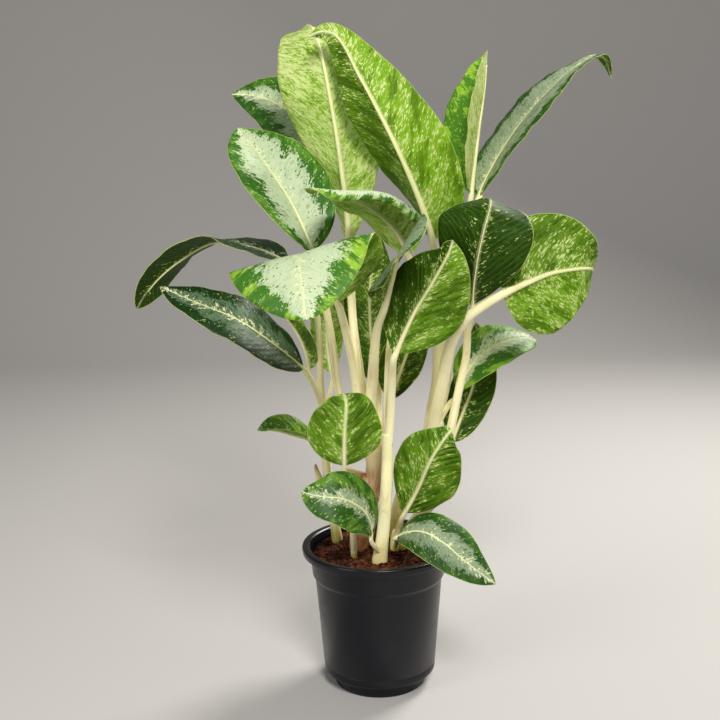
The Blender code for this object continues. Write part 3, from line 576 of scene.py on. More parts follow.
def stem_finish(colours):
    """Smooth cream stems, greener towards the blade, with thin brown papery sheath edges."""
    finish = Finish("stem")
    _, (along, around, seed) = finish.attribute("stem_place")
    _, (green, brown, yellow) = finish.attribute("stem_look")
    lines = finish.noise(finish.vector(along * 0.03, around * 1.1, seed), 1.0, 3.0, 0.6) - 0.5
    blotches = finish.noise(finish.vector(along * 0.06, around * 0.16, seed + 5.0), 1.0, 3.0) - 0.5
    freckles = finish.noise(finish.vector(along * 0.9, around * 1.4, seed + 9.0), 1.0, 2.0) - 0.5
    colour = finish.mix(finish.ramp(lines, -0.08, 0.14) * 0.6, colours.stem_cream, colours.stem_ivory)
    colour = finish.mix(finish.ramp(blotches, 0.04, 0.2) * 0.4, colour, colours.stem_blush)
    colour = finish.mix(finish.ramp(lines, 0.2, 0.25) * 0.45, colour, colours.stem_brown)
    leafy = (green + (blotches + lines * 0.5) * 1.4 * green).limited()
    colour = finish.mix(leafy, colour, colours.stem_green)
    colour = finish.mix((yellow + lines * 0.8 * yellow).limited() * 0.85, colour, colours.stem_yellow)
    worn = (brown * 1.15 + (lines + freckles) * 1.3 * brown).limited()
    colour = finish.mix(worn, colour, colours.stem_brown)
    colour = finish.mix(finish.ramp(freckles + blotches * 0.4, 0.2, 0.23) * 0.4, colour, colours.stem_brown)
    finish.set(
        Base_Color=colour,
        Roughness=0.4 + worn * 0.3,
        Normal=finish.bump(lines * 1.2 + blotches * 0.5 + freckles * 0.3, 0.16, 0.0005),
    )
    finish.shader.inputs["Specular IOR Level"].default_value = 0.36
    return finish.material


def pot_finish(colours):
    """Satin black plastic with faint scuffs and dust."""
    finish = Finish("pot_plastic")
    where = finish.node("TexCoord", output=3)
    x, y, z = finish.parts(where)
    grain = finish.noise(where, 900.0, 3.0, 0.6)
    cloud = finish.noise(where, 28.0, 3.0, 0.6)
    scuffs = finish.noise(finish.vector(x * 60.0, y * 60.0, z * 400.0), 1.0, 4.0, 0.7, 0.6)
    specks = finish.noise(where, 420.0, 1.0)
    dusty = finish.ramp(cloud, 0.45, 0.8)
    colour = finish.mix(dusty * 0.5, colours.pot_black, colours.pot_dust)
    colour = finish.mix(finish.ramp(scuffs, 0.68, 0.78) * 0.35, colour, colours.pot_dust)
    colour = finish.mix(finish.ramp(specks, 0.8, 0.83) * 0.5, colour, colours.pot_speck)
    finish.set(
        Base_Color=colour,
        Roughness=0.3 + dusty * 0.14 + finish.ramp(scuffs, 0.6, 0.8) * 0.12,
        Normal=finish.bump(grain * 0.5 + cloud, 0.12, 0.0006),
    )
    finish.shader.inputs["Specular IOR Level"].default_value = 0.36
    return finish.material


def soil_finish(colours):
    """Crumbly reddish-brown coco peat. Each crumb has its own random tone; the body under them is dark as painted
    shade in the gaps.
    """
    finish = Finish("soil")
    where = finish.node("TexCoord", output=3)
    shade = finish.node("Attribute", {"attribute_name": "shade"}, output=2)
    grain = finish.noise(where, 700.0, 4.0, 0.7)
    cloud = finish.noise(where, 60.0, 2.0)
    tone = (shade * 0.85 + (grain - 0.5) * 0.7 + (cloud - 0.5) * 0.5).limited()
    colour = finish.mix(tone, colours.soil_dark, colours.soil_light)
    finish.set(Base_Color=colour, Roughness=0.95, Normal=finish.bump(grain, 0.6, 0.001))
    finish.shader.inputs["Specular IOR Level"].default_value = 0.15
    return finish.material


# Smooth lines and sheets of points, as in the part


def smooth_line(points, dense=24):
    """Many points along a cubic curve that passes through the given ones."""
    points = np.asarray(points, float)
    if len(points) == 2:
        return np.linspace(points[0], points[1], dense + 1)
    chords = np.linalg.norm(np.diff(points, axis=0)[:, :3], axis=1)
    times = np.concatenate([[0.0], np.cumsum(np.sqrt(chords))])
    slopes = np.gradient(points, times, axis=0, edge_order=2)
    line = [points[:1]]
    for k in range(len(points) - 1):
        span = times[k + 1] - times[k]
        s = np.linspace(0, 1, dense + 1)[1:, None]
        line.append(
            (2 * s**3 - 3 * s**2 + 1) * points[k]
            + (s**3 - 2 * s**2 + s) * span * slopes[k]
            + (3 * s**2 - 2 * s**3) * points[k + 1]
            + (s**3 - s**2) * span * slopes[k + 1]
        )
    return np.concatenate(line)


def lengths_along(line):
    steps = np.linalg.norm(np.diff(line, axis=0)[:, :3], axis=1)
    return np.concatenate([[0.0], np.cumsum(steps)])


def along(line, shares):
    """The points of a dense line at these shares of its length."""
    length = lengths_along(line)
    wanted = np.asarray(shares) * length[-1]
    return np.stack([np.interp(wanted, length, column) for column in line.T], axis=1)


def unit(vectors):
    return vectors / np.maximum(np.linalg.norm(vectors, axis=-1, keepdims=True), 1e-9)


def smooth_step(values, low, high):
    t = np.clip((np.asarray(values, float) - low) / (high - low), 0, 1)
    return t * t * (3 - 2 * t)


def hump(values, middle, spread):
    return np.exp(-(((np.asarray(values, float) - middle) / spread) ** 2))


def carried(ahead, start, direction):
    """direction at one point of a line, carried to the others without turning about the line."""
    made = np.zeros_like(ahead)
    made[start] = unit(direction - (ahead[start] @ direction) * ahead[start])
    for k in range(start + 1, len(ahead)):
        made[k] = unit(made[k - 1] - (ahead[k] @ made[k - 1]) * ahead[k])
    for k in range(start - 1, -1, -1):
        made[k] = unit(made[k + 1] - (ahead[k] @ made[k + 1]) * ahead[k])
    return made


def stations(count):
    """Shares along a blade, closer together at its ends."""
    even = np.linspace(0, 1, count + 1)
    return 0.5 * even + 0.25 * (1 - np.cos(np.pi * even))


def half_widths(leaf, shares):
    base = (shares / leaf.belly) ** (OUTLINE_FULLNESS * leaf.belly)
    tip = ((1 - shares) / (1 - leaf.belly)) ** (OUTLINE_FULLNESS * (1 - leaf.belly))
    least = BASE_HALF_WIDTH + (TIP_HALF_WIDTH - BASE_HALF_WIDTH) * shares
    return np.maximum(leaf.width / 2 * base * tip, least)


def blade_frame(leaf, count):
    """Points, directions, sides and normals along a blade's middle line."""
    shares = stations(count)
    points = along(smooth_line(leaf.rib), shares)
    ahead = unit(np.gradient(points, shares, axis=0, edge_order=2))
    normal = carried(ahead, len(ahead) // 2, np.asarray(leaf.face, float))
    side = np.cross(ahead, normal)
    turn = np.radians(leaf.twist * shares)[:, None]
    return shares, points, ahead, side * np.cos(turn) + normal * np.sin(turn), (
        normal * np.cos(turn) - side * np.sin(turn)
    )


def rib_radius(leaf, shares):
    return leaf.stalk[1] + (0.7 - leaf.stalk[1]) * np.clip(shares / RIB_REACH, 0, 1) ** 0.8


def section(leaf, shares, half, across):
    """How far out and up from the middle line a blade reaches at one place across."""
    right = across > 0
    at_base, at_tip = leaf.lifts[:2] if right else leaf.lifts[2:]
    fade = np.clip(half / 12.0, 0, 1)
    lift = np.radians(at_base + (at_tip - at_base) * shares) * fade
    places = (np.arange(SECTION_STEPS) + 0.5) / SECTION_STEPS * abs(across)
    rolled = np.clip((places - ROLL_START) / (1 - ROLL_START), 0, 1)
    bend = 2 * MARGIN_DROOP * places + np.radians(leaf.roll[0 if right else 1]) * rolled
    slope = lift[:, None] - bend[None, :] * fade[:, None]
    step = half * abs(across) / SECTION_STEPS
    height, count = leaf.wave
    phase = 0.9 if right else 0.0
    ripple = height * across**2 * np.sin(2 * np.pi * (count * shares + phase)) * fade
    out = np.sign(across) * np.cos(slope).sum(axis=1) * step
    return out, np.sin(slope).sum(axis=1) * step + ripple


def small_waves(length, seed):
    """Small uneven waves along a margin, up to about a millimetre high."""
    return (
        0.55 * np.sin(length * 0.17 + seed * 1.7) + 0.35 * np.sin(length * 0.31 + seed * 2.9)
        + 0.12 * np.sin(length * 0.62 + seed * 0.7)
    )


def uneven_ridges(vein, from_rib, number):
    """Ridges between the side veins, from -1 to 1, that come and go over the blade."""
    drift = 1.1 * np.sin(vein * 0.09 + number * 1.3) + 0.5 * np.sin(from_rib * 0.2 + number)
    strength = 0.62 + 0.38 * np.sin(vein * 0.061 + from_rib * 0.05 + number * 2.1)
    return np.sin(vein * VEIN_RATE + drift) * strength


class Blade:
    """One blade: its middle surface as a grid along and across, and what its finish needs there."""

    def __init__(self, name, leaf, look, number):
        self.name = name
        self.leaf = leaf
        self.look = look
        shares, points, _, side, normal = blade_frame(leaf, BLADE_STATIONS)
        half = half_widths(leaf, shares)
        length = lengths_along(smooth_line(leaf.rib))[-1]
        across = np.linspace(-1, 1, BLADE_COLUMNS + 1)
        across = np.sign(across) * (0.65 * np.abs(across) + 0.35 * np.abs(across) ** 2)
        self.from_rib = np.abs(across)[None, :] * half[:, None]
        self.from_margin = half[:, None] - self.from_rib
        self.vein = (
            (shares * length)[:, None] - VEIN_SLOPE * self.from_rib - VEIN_SWEEP * self.from_rib**2
        )
        grid = np.zeros((len(shares), len(across), 3))
        for j, place in enumerate(across):
            out, rise = section(leaf, shares, half, place)
            wrinkle = small_waves(shares * length, number * 3.0 + np.sign(place)) * place**4
            rise = rise + wrinkle * np.clip(half / 30.0, 0, 1)
            grid[:, j] = points + out[:, None] * side + rise[:, None] * normal
        down = np.gradient(grid, axis=0)
        over = np.gradient(grid, axis=1)
        self.normal = -unit(np.cross(over, down))
        if (self.normal[len(shares) // 2, len(across) // 2] @ normal[len(shares) // 2]) < 0:
            self.normal = -self.normal
        fold = hump(self.from_rib, 0.0, rib_radius(leaf, shares)[:, None] * 1.2)
        quilting = uneven_ridges(self.vein, self.from_rib, number) * look.quilt
        quilting = quilting * smooth_step(self.from_rib, 1.0, 8.0)
        quilting = quilting * smooth_step(self.from_margin, 0.5, 7.0)
        self.grid = grid + self.normal * (quilting - fold * 0.5)[:, :, None]
        self.relief = quilting
        self.shares = np.broadcast_to(shares[:, None], self.from_rib.shape)
        self.across = np.broadcast_to(across[None, :], self.from_rib.shape)
        self.seed = number * 13.0 + np.where(self.across > 0, 5.0, 0.0)

    def thickness(self):
        inner = smooth_step(self.from_margin, 0.0, 4.0)
        return MARGIN_THICKNESS + (MIDDLE_THICKNESS - MARGIN_THICKNESS) * inner

    def mesh(self):
        """A closed blade. Its upper side has the first material, its underside the second."""
        half = self.thickness()[:, :, None] / 2
        rows, columns = self.from_rib.shape
        upper = (self.grid + self.normal * half).reshape(-1, 3)
        lower = (self.grid - self.normal * half).reshape(-1, 3)
        index = np.arange(rows * columns).reshape(rows, columns)
        a, b = index[:-1, :-1].ravel(), index[:-1, 1:].ravel()
        c, d = index[1:, 1:].ravel(), index[1:, :-1].ravel()
        top = np.stack([a, b, c, d], axis=1)
        under = top[:, ::-1] + rows * columns
        ring = np.concatenate([index[0, :], index[1:, -1], index[-1, -2::-1], index[-2:0:-1, 0]])
        following = np.roll(ring, -1)
        edge = np.stack([following, ring, ring + rows * columns, following + rows * columns], axis=1)
        faces = np.concatenate([top, under, edge])
        mesh = bpy.data.meshes.new(self.name)
        mesh.from_pydata(np.concatenate([upper, lower]) * MM, [], faces)
        slots = np.zeros(len(faces), int)
        slots[len(top):] = 1
        mesh.polygons.foreach_set("material_index", slots)
        mesh.polygons.foreach_set("use_smooth", np.ones(len(faces), bool))
        look = self.look
        self.write(mesh, "vein", self.vein, self.from_rib, self.seed)
        self.write(mesh, "place", self.from_margin, np.abs(self.across), self.shares)
        dark = np.where(self.across > 0, *look.dark)
        self.write(mesh, "top_look", look.silver, look.yellow, dark)
        self.write(mesh, "under_look", look.cream, look.yellow, dark)
        # The quilting height, from which the underside's finish paints shade into the hollows.
        self.write(mesh, "relief", self.relief, 0.0, 0.0)
        return mesh

    def write(self, mesh, name, *columns):
        shape = self.from_rib.shape
        values = np.stack([np.broadcast_to(column, shape).ravel() for column in columns], axis=1)
        write_vectors(mesh, name, np.concatenate([values, values]))


def write_vectors(mesh, name, values):
    made = mesh.attributes.new(name, "FLOAT_VECTOR", "POINT")
    made.data.foreach_set("vector", np.ascontiguousarray(values, np.float32).ravel())


def point_outwards(mesh):
    """Turns the faces of a closed mesh to point outwards."""
    edit = bmesh.new()
    edit.from_mesh(mesh)
    bmesh.ops.recalc_face_normals(edit, faces=edit.faces)
    edit.to_mesh(mesh)
    edit.free()


class Stalks:
    """Round stems with grooves, sheath edges and rings, gathered into one mesh."""

    def __init__(self):
        self.points = []
        self.faces = []
        self.places = []
        self.looks = []
        self.count = 0

    def add(self, line, upper, sides, shape, look, seed):
        """line holds points with a radius and upper the direction of the stem's inner side at each.
        shape gives a share of the radius, and look three numbers, for each point and angle."""
        ahead = unit(np.gradient(line[:, :3], axis=0))
        side = np.cross(ahead, upper)
        length = lengths_along(line)
        angles = np.arange(sides) / sides * 2 * np.pi
        reach = line[:, 3, None] * shape(length[:, None], angles[None, :])
        ring = (
            line[:, None, :3]
            + (reach * np.cos(angles))[:, :, None] * upper[:, None]
            + (reach * np.sin(angles))[:, :, None] * side[:, None]
        )
        rows = len(line)
        ends = np.array([line[0, :3], line[-1, :3]])
        points = np.concatenate([ring.reshape(-1, 3), ends])
        index = np.arange(rows * sides).reshape(rows, sides)
        beside = np.roll(index, -1, axis=1)
        walls = np.stack([index[:-1], beside[:-1], beside[1:], index[1:]], axis=2).reshape(-1, 4)
        faces = [tuple(face) for face in walls + self.count]
        first, last = rows * sides + self.count, rows * sides + 1 + self.count
        for k in range(sides):
            faces.append((first, beside[0, k] + self.count, index[0, k] + self.count))
            faces.append((last, index[-1, k] + self.count, beside[-1, k] + self.count))
        turned = np.abs(((angles + np.pi) % (2 * np.pi)) - np.pi)
        place = np.zeros((rows, sides, 3))
        place[:, :, 0] = length[:, None]
        place[:, :, 1] = turned[None, :] * line[:, 3, None]
        place[:, :, 2] = seed
        tone = np.stack(np.broadcast_arrays(*look(length[:, None], turned[None, :])), axis=2)
        for made, values in ((self.places, place), (self.looks, tone)):
            made.append(values.reshape(-1, 3))
            made.append(values[[0, -1], 0])
        self.points.append(points)
        self.faces += faces
        self.count += len(points)

    def mesh(self, name):
        mesh = bpy.data.meshes.new(name)
        mesh.from_pydata(np.concatenate(self.points) * MM, [], self.faces)
        mesh.polygons.foreach_set("use_smooth", np.ones(len(self.faces), bool))
        write_vectors(mesh, "stem_place", np.concatenate(self.places))
        write_vectors(mesh, "stem_look", np.concatenate(self.looks))
        point_outwards(mesh)
        return mesh


def petiole_line(leaf):
    """A petiole and the rib under its blade: points with a radius, and their upper directions."""
    shares, points, ahead, _, normal = blade_frame(leaf, 64)
    kept = shares <= RIB_REACH
    radius = rib_radius(leaf, shares)
    centres = points - normal * (MIDDLE_THICKNESS / 2 + 0.45 * radius)[:, None]
    rib = np.column_stack([centres, radius])[kept]
    lead_in = rib[0, :3] - ahead[0] * LEAD_IN
    route = smooth_line(np.concatenate([np.asarray(leaf.petiole, float), [lead_in], rib[:1, :3]]))
    length = lengths_along(route)[-1]
    steps = np.linspace(0, 1, max(8, round(length / 3.0)) + 1)
    stem = along(route, steps)
    size = leaf.stalk[0] + (leaf.stalk[1] - leaf.stalk[0]) * steps
    line = np.concatenate([np.column_stack([stem, size])[:-1], rib])
    ahead = unit(np.gradient(line[:, :3], axis=0))
    upper = carried(ahead, len(stem) - 1, normal[0])
    return line, upper, length


def add_petiole(stalks, leaf, rib, seed):
    """One petiole, and the rib at a share of its full thickness. The lower part is a sheath: a
    groove between two raised, papery brown edges."""
    line, upper, length = petiole_line(leaf)
    line[:, 3] *= 1 - (1 - rib) * smooth_step(lengths_along(line), length * 0.9, length * 1.1)
    line_length = lengths_along(line)[-1]
    sheath_end = length * 0.55

    def shape(at, angle):
        turned = np.abs(((angle + np.pi) % (2 * np.pi)) - np.pi)
        sheath = 1 - smooth_step(at, sheath_end * 0.8, sheath_end)
        on_stem = 1 - smooth_step(at, length * 0.9, length)
        groove = hump(turned, 0.0, 0.45) * (0.16 + 0.2 * sheath) * on_stem
        edges = hump(turned, 0.72, 0.16) * 0.14 * sheath
        return 1 - groove + edges

    def look(at, turned):
        rise = at / (length + 1e-6)
        green = smooth_step(rise, 0.55, 1.0) * 0.16 + smooth_step(turned, 1.9, 0.6) * 0.12
        green = green + smooth_step(at, length, length * 1.25) * 0.12
        sheath = 1 - smooth_step(at, sheath_end * 0.85, sheath_end * 1.02)
        brown = hump(turned, 0.72, 0.09) * sheath * (0.9 + 0.2 * np.sin(at * 0.11 + seed))
        green = green + smooth_step(at, length * 1.1, line_length) * 0.35
        return green + 0 * turned, brown, 0 * (at + turned)

    stalks.add(line, upper, 20, shape, look, seed)


def cane_line(cane):
    """A cane with its foot in the soil where it starts there: points with a radius."""
    line = smooth_line(cane)
    steps = max(8, round(lengths_along(line)[-1] / 2.0))
    points = along(line, np.linspace(0, 1, steps + 1))
    if cane[0][2] > SOIL_TOP + 4:
        return points
    foot = points[:1].copy()
    foot[0, 2] = SOIL_TOP - 12
    return np.concatenate([foot, points])


def add_cane(stalks, cane, woody, seed):
    """One cane, wrapped in sheath bases: a few thin scars that go part of the way round, yellow at
    the soil, and lumpy and brown where it is woody."""
    line = cane_line(cane)
    length = lengths_along(line)[-1]
    ahead = unit(np.gradient(line[:, :3], axis=0))
    upper = carried(ahead, 0, np.array([0.2, 0.9, 0.1]))
    scars = [length * (share + 0.05 * math.sin(seed * 3 + k)) for k, share in enumerate((0.15, 0.42))]
    grounded = cane[0][2] <= SOIL_TOP + 4
    pointed = cane[-1][3] < 1

    def scar(at, angle, k):
        """A slanting line that fades out round the far side."""
        place = scars[k] + 5.0 * np.cos(angle + k * 2 + seed)
        return hump(at, place, 0.8) * smooth_step(np.cos(angle + k * 2.4 + seed), -0.2, 0.7)

    def shape(at, angle):
        size = 1.0 + 0.035 * np.cos(3 * angle + seed) + 0.02 * np.sin(at * 0.08 + angle + seed)
        if woody:
            size = size + 0.07 * np.sin(at * 0.21 + 2 * angle) + 0.05 * np.sin(at * 0.37 - angle)
        for k in range(len(scars)):
            size = size + 0.03 * scar(at, angle, k)
        return size

    def look(at, turned):
        brown = 0 * (at + turned)
        for k in range(len(scars)):
            brown = brown + scar(at, turned, k) * (0.7 if woody else 0.3)
        low = (1 - smooth_step(at, 18, 46)) * grounded
        yellow = (0.1 if woody else 0.76 - 0.36 * math.cos(seed)) * low
        brown = brown + 0.32 * low * low * (0.6 + 0.4 * np.cos(turned * 2 + seed))
        brown = brown + (0.15 + 0.5 * smooth_step(at, length * 0.7, length)) * pointed
        if woody:
            brown = brown + 0.3 + 0.25 * low + 0.35 * hump(at, length * 0.5, length * 0.16)
        green = 0.1 + 0.1 * np.cos(turned * 2 + seed) + 0 * at
        return green, np.clip(brown, 0, 1), yellow + 0 * turned

    stalks.add(line, upper, 28, shape, look, seed + 3.0)


# Pot, as in the part
POT_HEIGHT = 142.5
RIM_RADIUS = 75.0
RIM_LIP_HEIGHT = 7.5
RIM_OPENING_RADIUS = 68.0
BAND_TOP_RADIUS = 66.8
BAND_BOTTOM_RADIUS = 65.0
STEP_HEIGHT = 112.0
WALL_TOP_RADIUS = 62.6
WALL_BOTTOM_RADIUS = 55.0
WALL_BOTTOM_HEIGHT = 15.0
FOOT_TOP_RADIUS = 47.0
FOOT_RADIUS = 45.0
WALL_THICKNESS = 1.6
FLOOR_THICKNESS = 2.4
POT_SEGMENTS = 144
DRAIN_HOLES = 8
DRAIN_RADIUS = 4.0
DRAIN_CIRCLE = 34.0
SOIL_TOP = 133.0
SOIL_EDGE_RADIUS = 64.6


def add_piece(name, mesh, materials, nodes):
    """Shows a mesh as a piece of the object, in place of these CAD nodes."""
    if not mesh.materials:
        for material in materials:
            mesh.materials.append(material)
    piece = bpy.data.objects.new(name, mesh)
    bpy.context.scene.collection.objects.link(piece)
    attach(piece, "root")
    if nodes:
        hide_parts(*nodes)
    return piece


def plain_mesh(obj):
    """The object's mesh with its modifiers applied. The object is removed."""
    graph = bpy.context.evaluated_depsgraph_get()
    mesh = bpy.data.meshes.new_from_object(obj.evaluated_get(graph))
    bpy.data.objects.remove(obj, do_unlink=True)
    return mesh


def rounded(profile, radii):
    """A profile whose corners are rounded, each by its own radius, with three points a corner."""
    made = []
    for k, (point, radius) in enumerate(zip(profile, radii)):
        if radius == 0 or k in (0, len(profile) - 1):
            made.append(point)
            continue
        here = np.array(point, float)
        back = np.array(profile[k - 1], float) - here
        on = np.array(profile[k + 1], float) - here
        reach = min(radius, np.linalg.norm(back) * 0.45, np.linalg.norm(on) * 0.45)
        start, end = here + unit(back) * reach, here + unit(on) * reach
        for t in (0.0, 0.25, 0.5, 0.75, 1.0):
            made.append(tuple((1 - t) ** 2 * start + 2 * t * (1 - t) * here + t * t * end))
    return made


def wall_outside(height):
    share = (height - WALL_BOTTOM_HEIGHT) / (STEP_HEIGHT - WALL_BOTTOM_HEIGHT)
    return WALL_BOTTOM_RADIUS + share * (WALL_TOP_RADIUS - WALL_BOTTOM_RADIUS)


def inside_profile():
    """The pot's inner face from the floor's centre up to the mouth, with corner radii."""
    inset = WALL_THICKNESS
    ledge = WALL_BOTTOM_HEIGHT + inset
    points = [
        (0.0, FLOOR_THICKNESS),
        (FOOT_RADIUS - inset, FLOOR_THICKNESS),
        (FOOT_TOP_RADIUS - inset, ledge),
        (WALL_BOTTOM_RADIUS - inset, ledge),
        (wall_outside(STEP_HEIGHT - 1.0) - inset, STEP_HEIGHT - 1.0),
        (BAND_BOTTOM_RADIUS - inset, STEP_HEIGHT + 2.0),
        (BAND_TOP_RADIUS - inset, POT_HEIGHT - RIM_LIP_HEIGHT),
    ]
    return points, [0, 1, 1, 1, 0.5, 0.5, 2]


def outside_profile():
    """The pot's outer face from the mouth over the rim and down to the foot's centre."""
    lip = POT_HEIGHT - RIM_LIP_HEIGHT
    points = [
        (RIM_OPENING_RADIUS - 0.6, POT_HEIGHT - 1.2),
        (RIM_OPENING_RADIUS + 1.2, POT_HEIGHT),
        (RIM_RADIUS - 0.6, POT_HEIGHT - 0.1),
        (RIM_RADIUS, POT_HEIGHT - 2.6),
        (RIM_RADIUS - 0.8, lip),
        (RIM_RADIUS - 3.0, lip - 0.4),
        (BAND_TOP_RADIUS, lip - 2.4),
        (BAND_BOTTOM_RADIUS, STEP_HEIGHT + 1.5),
        (WALL_TOP_RADIUS + 0.9, STEP_HEIGHT),
        (wall_outside(STEP_HEIGHT - 2.0), STEP_HEIGHT - 2.0),
        (wall_outside(22.2), 22.2),
        (wall_outside(21.8) - 0.25, 21.8),
        (wall_outside(21.4), 21.4),
        (WALL_BOTTOM_RADIUS, WALL_BOTTOM_HEIGHT),
        (WALL_BOTTOM_RADIUS - 0.8, WALL_BOTTOM_HEIGHT - 0.8),
        (FOOT_TOP_RADIUS, WALL_BOTTOM_HEIGHT - 0.8),
        (FOOT_TOP_RADIUS - 0.9, 8.4),
        (FOOT_TOP_RADIUS - 1.3, 8.0),
        (FOOT_RADIUS + 0.6, 7.4),
        (FOOT_RADIUS, 0.8),
        (FOOT_RADIUS - 0.8, 0.0),
        (0.0, 0.0),
    ]
    radii = [0.6, 0.9, 1.8, 1.6, 0.7, 0.5, 0.9, 1.3, 0.8, 0.6, 0, 0, 0, 0.6, 0.4, 0.4, 0.2, 0.2, 0.3,
             0.4, 0.4, 0]
    return points, radii


def turned_mesh(name, profile, segments):
    """A closed body turned about Z from a profile that runs down its outer side."""
    mesh = bpy.data.meshes.new(name)
    points = [(radius * MM, 0.0, height * MM) for radius, height in profile]
    mesh.from_pydata(points, [(i, i + 1) for i in range(len(points) - 1)], [])
    obj = bpy.data.objects.new(name, mesh)
    bpy.context.scene.collection.objects.link(obj)
    screw = obj.modifiers.new("Turn", "SCREW")
    screw.angle = 2 * math.pi
    screw.steps = segments
    screw.render_steps = segments
    screw.use_merge_vertices = True
    screw.merge_threshold = 0.00001
    turned = plain_mesh(obj)
    edit = bmesh.new()
    edit.from_mesh(turned)
    bmesh.ops.remove_doubles(edit, verts=edit.verts, dist=1e-6)
    bmesh.ops.recalc_face_normals(edit, faces=edit.faces)
    edit.to_mesh(turned)
    edit.free()
    return turned


def cylinder(name, x, y, radius, bottom, top):
    mesh = bpy.data.meshes.new(name)
    edit = bmesh.new()
    bmesh.ops.create_cone(
        edit, cap_ends=True, segments=24, radius1=radius * MM, radius2=radius * MM,
        depth=(top - bottom) * MM,
        matrix=Matrix.Translation(Vector((x, y, (top + bottom) / 2)) * MM),
    )
    edit.to_mesh(mesh)
    edit.free()
    obj = bpy.data.objects.new(name, mesh)
    bpy.context.scene.collection.objects.link(obj)
    return obj


def build_pot(finish):
    points, radii = inside_profile()
    outer, outer_radii = outside_profile()
    profile = rounded(points + outer, radii + outer_radii)
    mesh = turned_mesh("pot_body", profile, POT_SEGMENTS)
    body = bpy.data.objects.new("pot_blank", mesh)
    bpy.context.scene.collection.objects.link(body)
    cutters = []
    for k in range(DRAIN_HOLES):
        angle = 2 * math.pi * k / DRAIN_HOLES
        x, y = DRAIN_CIRCLE * math.cos(angle), DRAIN_CIRCLE * math.sin(angle)
        cutters.append(cylinder(f"drain_{k}", x, y, DRAIN_RADIUS, -1.0, FLOOR_THICKNESS + 1.0))
        cut = body.modifiers.new(f"Drain {k + 1}", "BOOLEAN")
        cut.operation = "DIFFERENCE"
        cut.solver = "EXACT"
        cut.object = cutters[-1]
    made = plain_mesh(body)
    for cutter in cutters:
        bpy.data.objects.remove(cutter, do_unlink=True)
    made.shade_smooth()
    made.set_sharp_from_angle(angle=math.radians(38))
    made.name = "pot_body"
    add_piece("pot_body", made, [finish], ["pot"])


def soil_height(x, y):
    """The height of the loose soil's top, in millimetres."""
    rolls = 1.1 * np.sin(x * 0.11 + 1.3) * np.cos(y * 0.13 + 0.4) + 0.7 * np.sin(x * 0.23 - y * 0.19)
    edge = smooth_step(np.hypot(x, y), 52, 64)
    return SOIL_TOP - 0.6 + rolls * (1 - edge * 0.6) + edge * 1.0


def build_soil(finish):
    """The filling: a round body with a rolling top."""
    rings, sides = 40, 120
    radii = np.linspace(0, SOIL_EDGE_RADIUS, rings + 1)[1:]
    angles = np.arange(sides) / sides * 2 * np.pi
    x = (radii[:, None] * np.cos(angles)).ravel()
    y = (radii[:, None] * np.sin(angles)).ravel()
    top = np.column_stack([x, y, soil_height(x, y)])
    centre = np.array([[0, 0, soil_height(0.0, 0.0)]])
    low = [(SOIL_EDGE_RADIUS - 0.6, STEP_HEIGHT + 4), (wall_outside(100.0) - 2.0, 100.0),
           (WALL_BOTTOM_RADIUS - 2.0, WALL_BOTTOM_HEIGHT + 2.0)]
    walls = [
        np.column_stack([radius * np.cos(angles), radius * np.sin(angles), np.full(sides, height)])
        for radius, height in low
    ]
    bottom = np.array([[0, 0, WALL_BOTTOM_HEIGHT + 2.0]])
    points = np.concatenate([top, *walls, centre, bottom])
    rows = rings + len(low)
    index = np.arange(rows * sides).reshape(rows, sides)
    beside = np.roll(index, -1, axis=1)
    faces = [
        tuple(face)
        for face in np.stack([index[:-1], index[1:], beside[1:], beside[:-1]], axis=2).reshape(-1, 4)
    ]
    for k in range(sides):
        faces.append((rows * sides, index[0, k], beside[0, k]))
        faces.append((rows * sides + 1, beside[-1, k], index[-1, k]))
    mesh = bpy.data.meshes.new("soil_body")
    mesh.from_pydata(points * MM, [], faces)
    mesh.polygons.foreach_set("use_smooth", np.ones(len(faces), bool))
    point_outwards(mesh)
    # A low tone for the body under the crumbs: painted shade in the gaps between them.
    shade = mesh.attributes.new("shade", "FLOAT", "POINT")
    shade.data.foreach_set("value", np.full(len(points), 0.12, np.float32))
    add_piece("soil_body", mesh, [finish], ["soil"])


